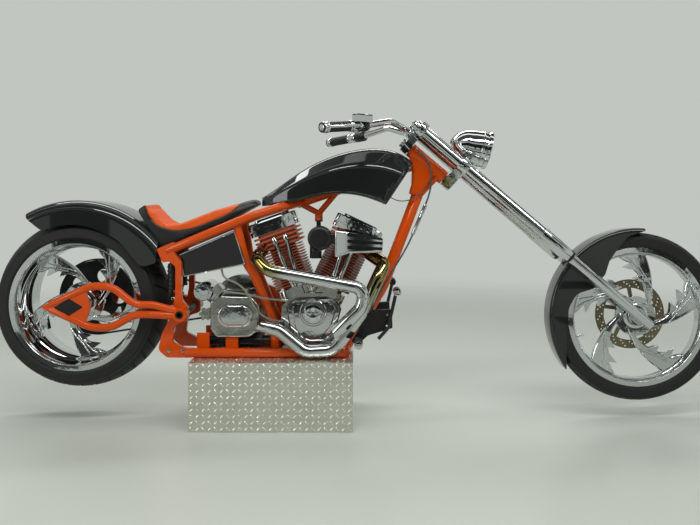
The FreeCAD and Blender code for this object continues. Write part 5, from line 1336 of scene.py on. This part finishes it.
# ------------------------------------------------------------------ saddle
@dataclass
class Saddle:
    """Solo saddle: padded charcoal hide with an orange inset that wraps over its crest."""

    voxel_mm: float = 5.0
    # how far the backrest's crest is hollowed: ahead and depth
    hollow: tuple[Pair, ...] = (
        (-884, 0), (-864, 8), (-846, 20), (-826, 29), (-803, 30), (-774, 22), (-745, 8), (-715, 0))
    hollow_fade_mm: float = 40.0
    start_in_mm: float = 2.5
    swell_cap_mm: float = 6.5
    pressure: float = 4.0
    frames: int = 20
    groove_mm: float = 2.5
    groove_reach_mm: float = 5.0
    stitch_mm: float = 7.0
    stitch_aside_mm: float = 4.5
    # a stitch's radius, by its way from its start as a share of the gap between two places, and the
    # start itself; where a gap is longer than the longest, the seam leaves the flank
    thread: tuple[Pair, ...] = ((0, 0.3), (0.18, 0.75), (0.52, 0.75), (0.7, 0.3))
    thread_start: float = 0.15
    thread_above_mm: float = 0.2
    longest_gap_mm: float = 20.0
    # the pan is what lies this near the lowest point, and what faces down more than this
    pan_mm: float = 20.0
    pan_facing: float = -0.45
    # seam between the inset and the sides: ahead and height, then its rise behind the first place
    seam: tuple[Pair, ...] = (
        (-862, 869), (-846, 829), (-814, 797), (-766, 780), (-725, 778), (-665, 789), (-600, 814),
        (-545, 838), (-512, 860), (-494, 884), (-480, 915))
    seam_tail_mm: float = 40.0
    seam_tail_slope: float = 2.4
    # the seam's last rows, at its front, that stay without stitches
    plain_rows: int = 4
    # how far each way the seam's slope is measured
    slope_mm: float = 4.0

    def __post_init__(self) -> None:
        """Smooths the seam to finer places, each ahead and height."""
        line = smooth_line([(x, 0.0, z) for x, z in self.seam], 4)
        self.rows = [(p.x * 1000, p.z * 1000) for p in line]

    def seam_height(self, x_mm: float) -> float:
        """Height of the seam above one place, in millimetres."""
        first_x, first_z = self.rows[0]
        if x_mm <= first_x:
            return first_z + (first_x - x_mm) * self.seam_tail_slope
        for (x0, z0), (x1, z1) in zip(self.rows, self.rows[1:]):
            if x_mm <= x1:
                return z0 + (z1 - z0) * (x_mm - x0) / (x1 - x0)
        return self.rows[-1][1]

    def build(self) -> None:
        """Makes the swollen pad, its seams and its stitches."""
        pad = self.swollen()
        mesh = bmesh.new()
        mesh.from_mesh(pad)
        bpy.data.meshes.remove(pad)
        self.hollow_back(mesh)
        self.cut_seam(mesh)
        self.sink_seam(mesh)
        for face in mesh.faces:
            spot = face.calc_center_median() * 1000
            face.material_index = 1 if spot.z > self.seam_height(spot.x) else 0
        saddle = piece("saddle_pad", mesh, [SEAT_BLACK, SEAT_ORANGE], Body.FRAME, 70.0)
        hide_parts("seat")
        self.stitches(saddle)

    def hollow_back(self, mesh: Any) -> None:
        """Sinks the top where the rider sits against the backrest."""
        for vert in mesh.verts:
            x = vert.co.x * 1000
            for (x0, d0), (x1, d1) in zip(self.hollow, self.hollow[1:]):
                if x0 <= x < x1:
                    depth = d0 + (d1 - d0) * (x - x0) / (x1 - x0)
                    above = vert.co.z * 1000 - self.seam_height(x)
                    share = min(max(above / self.hollow_fade_mm, 0.0), 1.0)
                    vert.co.z -= depth * MM * share * share * (3 - 2 * share)

    def cut_seam(self, mesh: Any) -> None:
        """Cuts the pad's faces along the seam, so that the two hides meet on a clean line."""
        before = self.seam[0][0] - self.seam_tail_mm
        rows = [(before, self.seam_height(before)), *self.rows]
        for (x0, z0), (x1, z1) in zip(rows, rows[1:]):
            near = [f for f in mesh.faces if x0 <= f.calc_center_median().x * 1000 < x1]
            parts = set(near)
            for face in near:
                parts.update(face.edges)
                parts.update(face.verts)
            bmesh.ops.bisect_plane(mesh, geom=list(parts), dist=0.0001, plane_co=(x0 * MM, 0, z0 * MM),
                                   plane_no=Vector((z0 - z1, 0, x1 - x0)).normalized())
        mesh.normal_update()

    def sink_seam(self, mesh: Any) -> None:
        """Draws the hide in beside the seam, but not at the pan."""
        low = min(v.co.z for v in mesh.verts)
        for vert in mesh.verts:
            x = vert.co.x * 1000
            rise = self.seam_height(x + self.slope_mm) - self.seam_height(x - self.slope_mm)
            slope = rise / (2 * self.slope_mm)
            away = abs(vert.co.z * 1000 - self.seam_height(x)) / math.sqrt(1 + slope * slope)
            if away < self.groove_reach_mm and vert.co.z > low + self.pan_mm * MM:
                vert.co -= vert.normal * (self.groove_mm * MM * (1 - away / self.groove_reach_mm))

    def swollen(self) -> Any:
        """Remeshes the solid, fills it with pressure and smooths it.

        Returns:
            The new mesh.
        """
        work = add_object("saddle_work", NODES["seat"].data.copy())
        modify(work, "weld", "WELD", merge_threshold=0.00002)
        modify(work, "skin", "REMESH", mode="VOXEL", voxel_size=self.voxel_mm * MM)
        self.apply(work)
        for vert in work.data.vertices:
            vert.co -= vert.normal * (self.start_in_mm * MM)
        before = [v.co.copy() for v in work.data.vertices]
        self.simulate(work)
        cap = self.swell_cap_mm * MM
        for vert, start in zip(work.data.vertices, before):
            moved = vert.co - start
            if moved.length > cap:
                vert.co = start + moved * (cap / moved.length)
        modify(work, "smooth", "SMOOTH", iterations=7, factor=0.5)
        modify(work, "finer", "SUBSURF", levels=1, render_levels=1)
        self.apply(work)
        result = work.data.copy()
        bpy.data.objects.remove(work)
        return result

    def simulate(self, work: Any) -> None:
        """Runs the pressure simulation on the pad and applies it, with the pan held still."""
        scene = bpy.context.scene
        pan = work.vertex_groups.new(name="pan")
        pan.add([v.index for v in work.data.vertices if v.normal.z < self.pan_facing], 1.0, "REPLACE")
        cloth = modify(work, "filled", "CLOTH")
        for name, value in {
            "quality": 5, "mass": 0.3, "tension_stiffness": 12, "compression_stiffness": 12,
            "shear_stiffness": 5, "bending_stiffness": 0.6, "use_pressure": True,
            "uniform_pressure_force": self.pressure, "vertex_group_mass": "pan",
        }.items():
            setattr(cloth.settings, name, value)
        cloth.settings.effector_weights.gravity = 0
        cloth.point_cache.frame_start = 1
        cloth.point_cache.frame_end = self.frames
        for frame in range(1, self.frames + 1):
            scene.frame_set(frame)
        self.apply(work)
        scene.frame_set(1)

    def apply(self, work: Any) -> None:
        """Applies every modifier on a working object."""
        graph = bpy.context.evaluated_depsgraph_get()
        mesh = bpy.data.meshes.new_from_object(work.evaluated_get(graph))
        work.modifiers.clear()
        work.data = mesh

    def stitches(self, saddle: Any) -> None:
        """Sews a row of stitches beside the seam on each flank."""
        skin = Skin(saddle.data)
        places = []
        sewn = self.rows[:-self.plain_rows]
        for (x0, z0), (x1, z1) in zip(sewn, sewn[1:]):
            run = Vector((x1 - x0, 0, z1 - z0))
            aside = Vector((run.z, 0, -run.x)).normalized() * self.stitch_aside_mm
            count = max(round(run.length / self.stitch_mm), 1)
            spots = [Vector((x0, 0, z0)) + run * (i / count) + aside for i in range(count)]
            places += [(spot.x, spot.z) for spot in spots]
        mesh = bmesh.new()
        for side in SIDES:
            found = skin.along(places, side)
            for (first, normal), (second, _) in zip(found, found[1:]):
                run = second - first
                gap_mm = run.length * 1000
                if gap_mm < self.longest_gap_mm:
                    thread = [(gap_mm * at, radius) for at, radius in self.thread]
                    start = first + run * self.thread_start + normal * (self.thread_above_mm * MM)
                    turned(mesh, start, run, thread, 6)
        piece("saddle_stitches", mesh, [THREAD], Body.FRAME)


# ------------------------------------------------------------------ cables and hoses
@dataclass
class Line:
    """One cable or hose along its route."""

    node: str
    slot: str
    finish: Finish
    diameter_mm: float
    length_mm: float
    stiffness: str
    route: Sequence[Triple]
    carries: Sequence[str] = ()

    def build(self) -> None:
        curve = bpy.data.curves.new(self.node + "_run", "CURVE")
        curve.dimensions = "3D"
        curve.resolution_u = 12
        curve.bevel_depth = self.diameter_mm / 2 * MM
        curve.bevel_resolution = 5
        curve.use_fill_caps = True
        spline = curve.splines.new("NURBS")
        spline.points.add(len(self.route) - 1)
        for point, place in zip(spline.points, self.route):
            point.co = (*place, 1.0)
        spline.order_u = 3
        spline.use_endpoint_u = True
        curve.materials.append(self.finish.build())
        thing = add_object(self.node + "_run", curve)
        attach(thing, Body.FRAME.value)
        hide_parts(self.node)
        LOG.info("%s: %d points", thing.name, len(self.route))


@dataclass
class Lines:
    """Control cable, breather and oil hoses that run in the open."""

    def build(self) -> None:
        """Lays each of them and dresses the adjuster on the cable."""
        dress("cable_adjuster", CHROME, 0.8)
        Line("control_cable", "cable_jacket", CABLE, 7.0, 729.0, "stiff", (
            (0.238, -0.038, 1.096), (0.248, -0.046, 1.087), (0.266, -0.050, 1.071), (0.284, -0.049, 1.042),
            (0.292, -0.047, 1.004), (0.291, -0.045, 0.962), (0.283, -0.043, 0.922), (0.271, -0.042, 0.886),
            (0.211, -0.042, 0.746), (0.192, -0.043, 0.707), (0.168, -0.048, 0.666), (0.140, -0.057, 0.622),
            (0.110, -0.071, 0.574), (0.084, -0.088, 0.532), (0.064, -0.104, 0.500), (0.052, -0.114, 0.478),
            (0.048, -0.119, 0.4578)), ("cable_adjuster",)).build()
        Line("breather_line", "cable_jacket", CABLE, 4.0, 227.0, "medium", (
            (0.1228, -0.036, 0.9096), (0.145, -0.036, 0.8955), (0.176, -0.036, 0.892),
            (0.208, -0.036, 0.898), (0.238, -0.0355, 0.915), (0.262, -0.035, 0.941),
            (0.280, -0.0335, 0.967), (0.291, -0.0325, 0.9835), (0.301, -0.032, 0.997))).build()
        Line("oil_hose_rear", "braided_hose", HOSE, 8.0, 337.0, "medium", (
            (-0.560, -0.098, 0.6192), (-0.5575, -0.0985, 0.600), (-0.547, -0.101, 0.5835),
            (-0.528, -0.106, 0.574), (-0.502, -0.113, 0.566), (-0.472, -0.120, 0.548),
            (-0.448, -0.1245, 0.518), (-0.431, -0.126, 0.482), (-0.411, -0.124, 0.450),
            (-0.384, -0.116, 0.427), (-0.356, -0.105, 0.414), (-0.3303, -0.0932, 0.4082))).build()
        Line("oil_hose_top", "braided_hose", HOSE, 8.0, 229.0, "medium", (
            (-0.5445, -0.0842, 0.5269), (-0.527, -0.087, 0.525), (-0.501, -0.093, 0.5215),
            (-0.471, -0.101, 0.5195), (-0.438, -0.107, 0.514), (-0.402, -0.108, 0.505),
            (-0.370, -0.104, 0.498), (-0.344, -0.098, 0.495), (-0.3223, -0.0921, 0.4931))).build()


# ------------------------------------------------------------------ studio
@dataclass
class Studio:
    """Floor, soft lights, pale room and camera."""

    camera_place: Triple = (-0.022, -3.350, 0.889)
    lens_mm: float = 41.45
    shift: Pair = (-0.0071, -0.0864)
    floor_size: float = 40.0
    fade: Pair = (2.2, 6.5)
    wall_colour: str = "#C1C6C0"
    turn_colour: str = "#8C918D"
    ceiling_colour: str = "#4A4E4C"
    strip_light: tuple[float, float, float, float] = (1.6, 1.64, 1.6, 1.0)
    # the strips' soft edges, of half a strip's pitch of 0.5, and the rise at which they start
    strip_edge: Pair = (0.08, 0.1)
    strip_start: Pair = (0.48, 0.52)
    least_rise: float = 0.05
    # each lamp: name, place, what it faces, two sizes and power
    lamps: tuple[tuple[Any, ...], ...] = (
        ("overhead_front", (0.5, -2.0, 3.2), (0.1, 0, 0.6), (4.2, 0.4), 72.0),
        ("overhead_rear", (-0.6, 1.4, 3.2), (-0.2, 0, 0.6), (4.2, 0.4), 53.0),
        ("side_fill", (-3.6, -2.6, 1.4), (0, 0, 0.6), (0.9, 1.6), 20.0))
    curtain_y: float = -6.4
    # each curtain: left, right, low, high
    curtains: tuple[tuple[float, ...], ...] = (
        (-7.0, 7.0, 0.9, 3.4), (-6.4, -4.6, 0.0, 0.9), (-3.6, -2.9, 0.0, 0.9), (-1.3, -0.85, 0.0, 0.9),
        (-0.1, 0.2, 0.0, 0.9), (1.5, 2.3, 0.0, 0.9), (3.4, 4.0, 0.0, 0.9))
    # each mat: left, right, and how near and far in front of the machine
    mats: tuple[tuple[float, ...], ...] = (
        (-2.6, -1.5, 1.2, 2.4), (-1.2, 0.9, 1.75, 2.35), (-1.6, 0.5, 3.3, 4.2), (1.5, 3.4, 2.2, 3.0),
        (-3.2, 3.6, 5.0, 5.8))

    def build(self) -> None:
        """Sets the stage."""
        self.floor()
        self.room()
        self.lights()
        self.felt()
        self.camera()
        bpy.context.scene.view_settings.view_transform = "Standard"

    def plane(self, name: str, finish: Finish, place: Triple, size: Pair) -> Any:
        """Lays a flat stage piece.

        Args:
            name: its name.
            finish: its finish.
            place: its middle.
            size: its two sizes in metres.

        Returns:
            The object.
        """
        mesh = bmesh.new()
        bmesh.ops.create_grid(mesh, x_segments=1, y_segments=1, size=0.5)
        data = mesh_data(name, mesh)
        data.materials.append(finish.build())
        thing = add_object(name, data)
        thing.scale = (*size, 1)
        thing.location = place
        return thing

    def floor(self) -> None:
        """Lays the sealed pale floor, which passes into the room's colour further out, as a cove does."""
        sealed = Finish("floor_epoxy_sealed", "#C5CAC1", roughness=0.3, ior=1.4, smudge=0.05, smudge_mm=900.0)
        graph = Graph(sealed.build().node_tree)
        # the coordinate runs from -0.5 to 0.5 over the whole floor
        away = graph.vector("DISTANCE", graph.place, (0.0, 0.0, 0.0))
        near, far = (metres / self.floor_size for metres in self.fade)
        graph.show_through(graph.spread(away, near, far, kind="SMOOTHSTEP"))
        self.plane("floor", sealed, (0.0, 0.0, -0.0005), (self.floor_size, self.floor_size))

    def room(self) -> None:
        """Colours the room by direction: pale walls, and a darker ceiling with bright strips of light."""
        world = bpy.data.worlds.new("studio")
        bpy.context.scene.world = world
        world.use_nodes = True
        graph = Graph(world.node_tree, "Background", "Generated")
        rise = graph.part(graph.place, "Z")
        shell = graph.ramp(graph.spread(rise, 0.0, 1.0), (
            (0.0, self.wall_colour), (0.40, self.wall_colour), (0.46, self.turn_colour),
            (0.50, self.ceiling_colour), (1.0, self.ceiling_colour)))
        # strips run along the machine: where the ceiling would be, by how far to the side
        height = graph.math("MAXIMUM", rise, self.least_rise)
        aside = graph.math("DIVIDE", graph.part(graph.place, "Y"), height)
        strip = graph.spread(graph.math("PINGPONG", aside, 0.5), *self.strip_edge, 1.0, 0.0)
        lit = graph.math("MULTIPLY", strip, graph.spread(rise, *self.strip_start))
        graph.feed("Color", graph.mix(lit, shell, self.strip_light))
        graph.shader.inputs["Strength"].default_value = 1.0

    def lights(self) -> None:
        """Hangs the soft boxes."""
        for name, place, aim, size, power in self.lamps:
            lamp = bpy.data.lights.new(name, "AREA")
            lamp.shape = "RECTANGLE"
            lamp.size, lamp.size_y = size
            lamp.energy = power
            holder = add_object(name, lamp)
            holder.location = place
            holder.rotation_euler = (Vector(aim) - Vector(place)).to_track_quat("-Z", "Y").to_euler()

    def felt(self) -> None:
        """Places dark felt, upright and on the floor, that only shows in what mirrors it."""
        felt = Finish("felt_curtain_black", "#1B1D1C", roughness=0.9, grain_mm=4.0, grain_depth_mm=0.3)
        # its back is clear, so that the floor doesn't mirror the felt lying on it
        graph = Graph(felt.build().node_tree)
        graph.show_through(graph.surface("Backfacing"))
        sheets = []
        for index, (left, right, low, high) in enumerate(self.curtains):
            middle = ((left + right) / 2, self.curtain_y, (low + high) / 2)
            sheets.append(self.plane("curtain_%d" % index, felt, middle, (right - left, high - low)))
            sheets[-1].rotation_euler = (-math.pi / 2, 0, 0)
        for index, (left, right, near, far) in enumerate(self.mats):
            middle = ((left + right) / 2, -(near + far) / 2, 0.002)
            sheets.append(self.plane("mat_%d" % index, felt, middle, (right - left, far - near)))
        for sheet in sheets:
            sheet.visible_camera = sheet.visible_shadow = sheet.visible_diffuse = False

    def camera(self) -> None:
        """Sets the level camera square to the machine's right side."""
        data = bpy.data.cameras.new("camera")
        data.lens = self.lens_mm
        data.shift_x, data.shift_y = self.shift
        data.clip_end = 200.0
        camera = add_object("camera", data)
        camera.location = self.camera_place
        camera.rotation_euler = (math.pi / 2, 0, 0)
        bpy.context.scene.camera = camera


def main() -> None:
    logging.basicConfig(level=logging.INFO, format="%(message)s")
    for assembly in (Plinth(), Wheels(), Chassis(), Engine(), FootControls(), FrontEnd(), Saddle(), Lines(),
                     Studio()):
        assembly.build()
        LOG.info("%s done", type(assembly).__name__)
    bpy.context.view_layer.update()


if __name__ == "__main__":
    main()
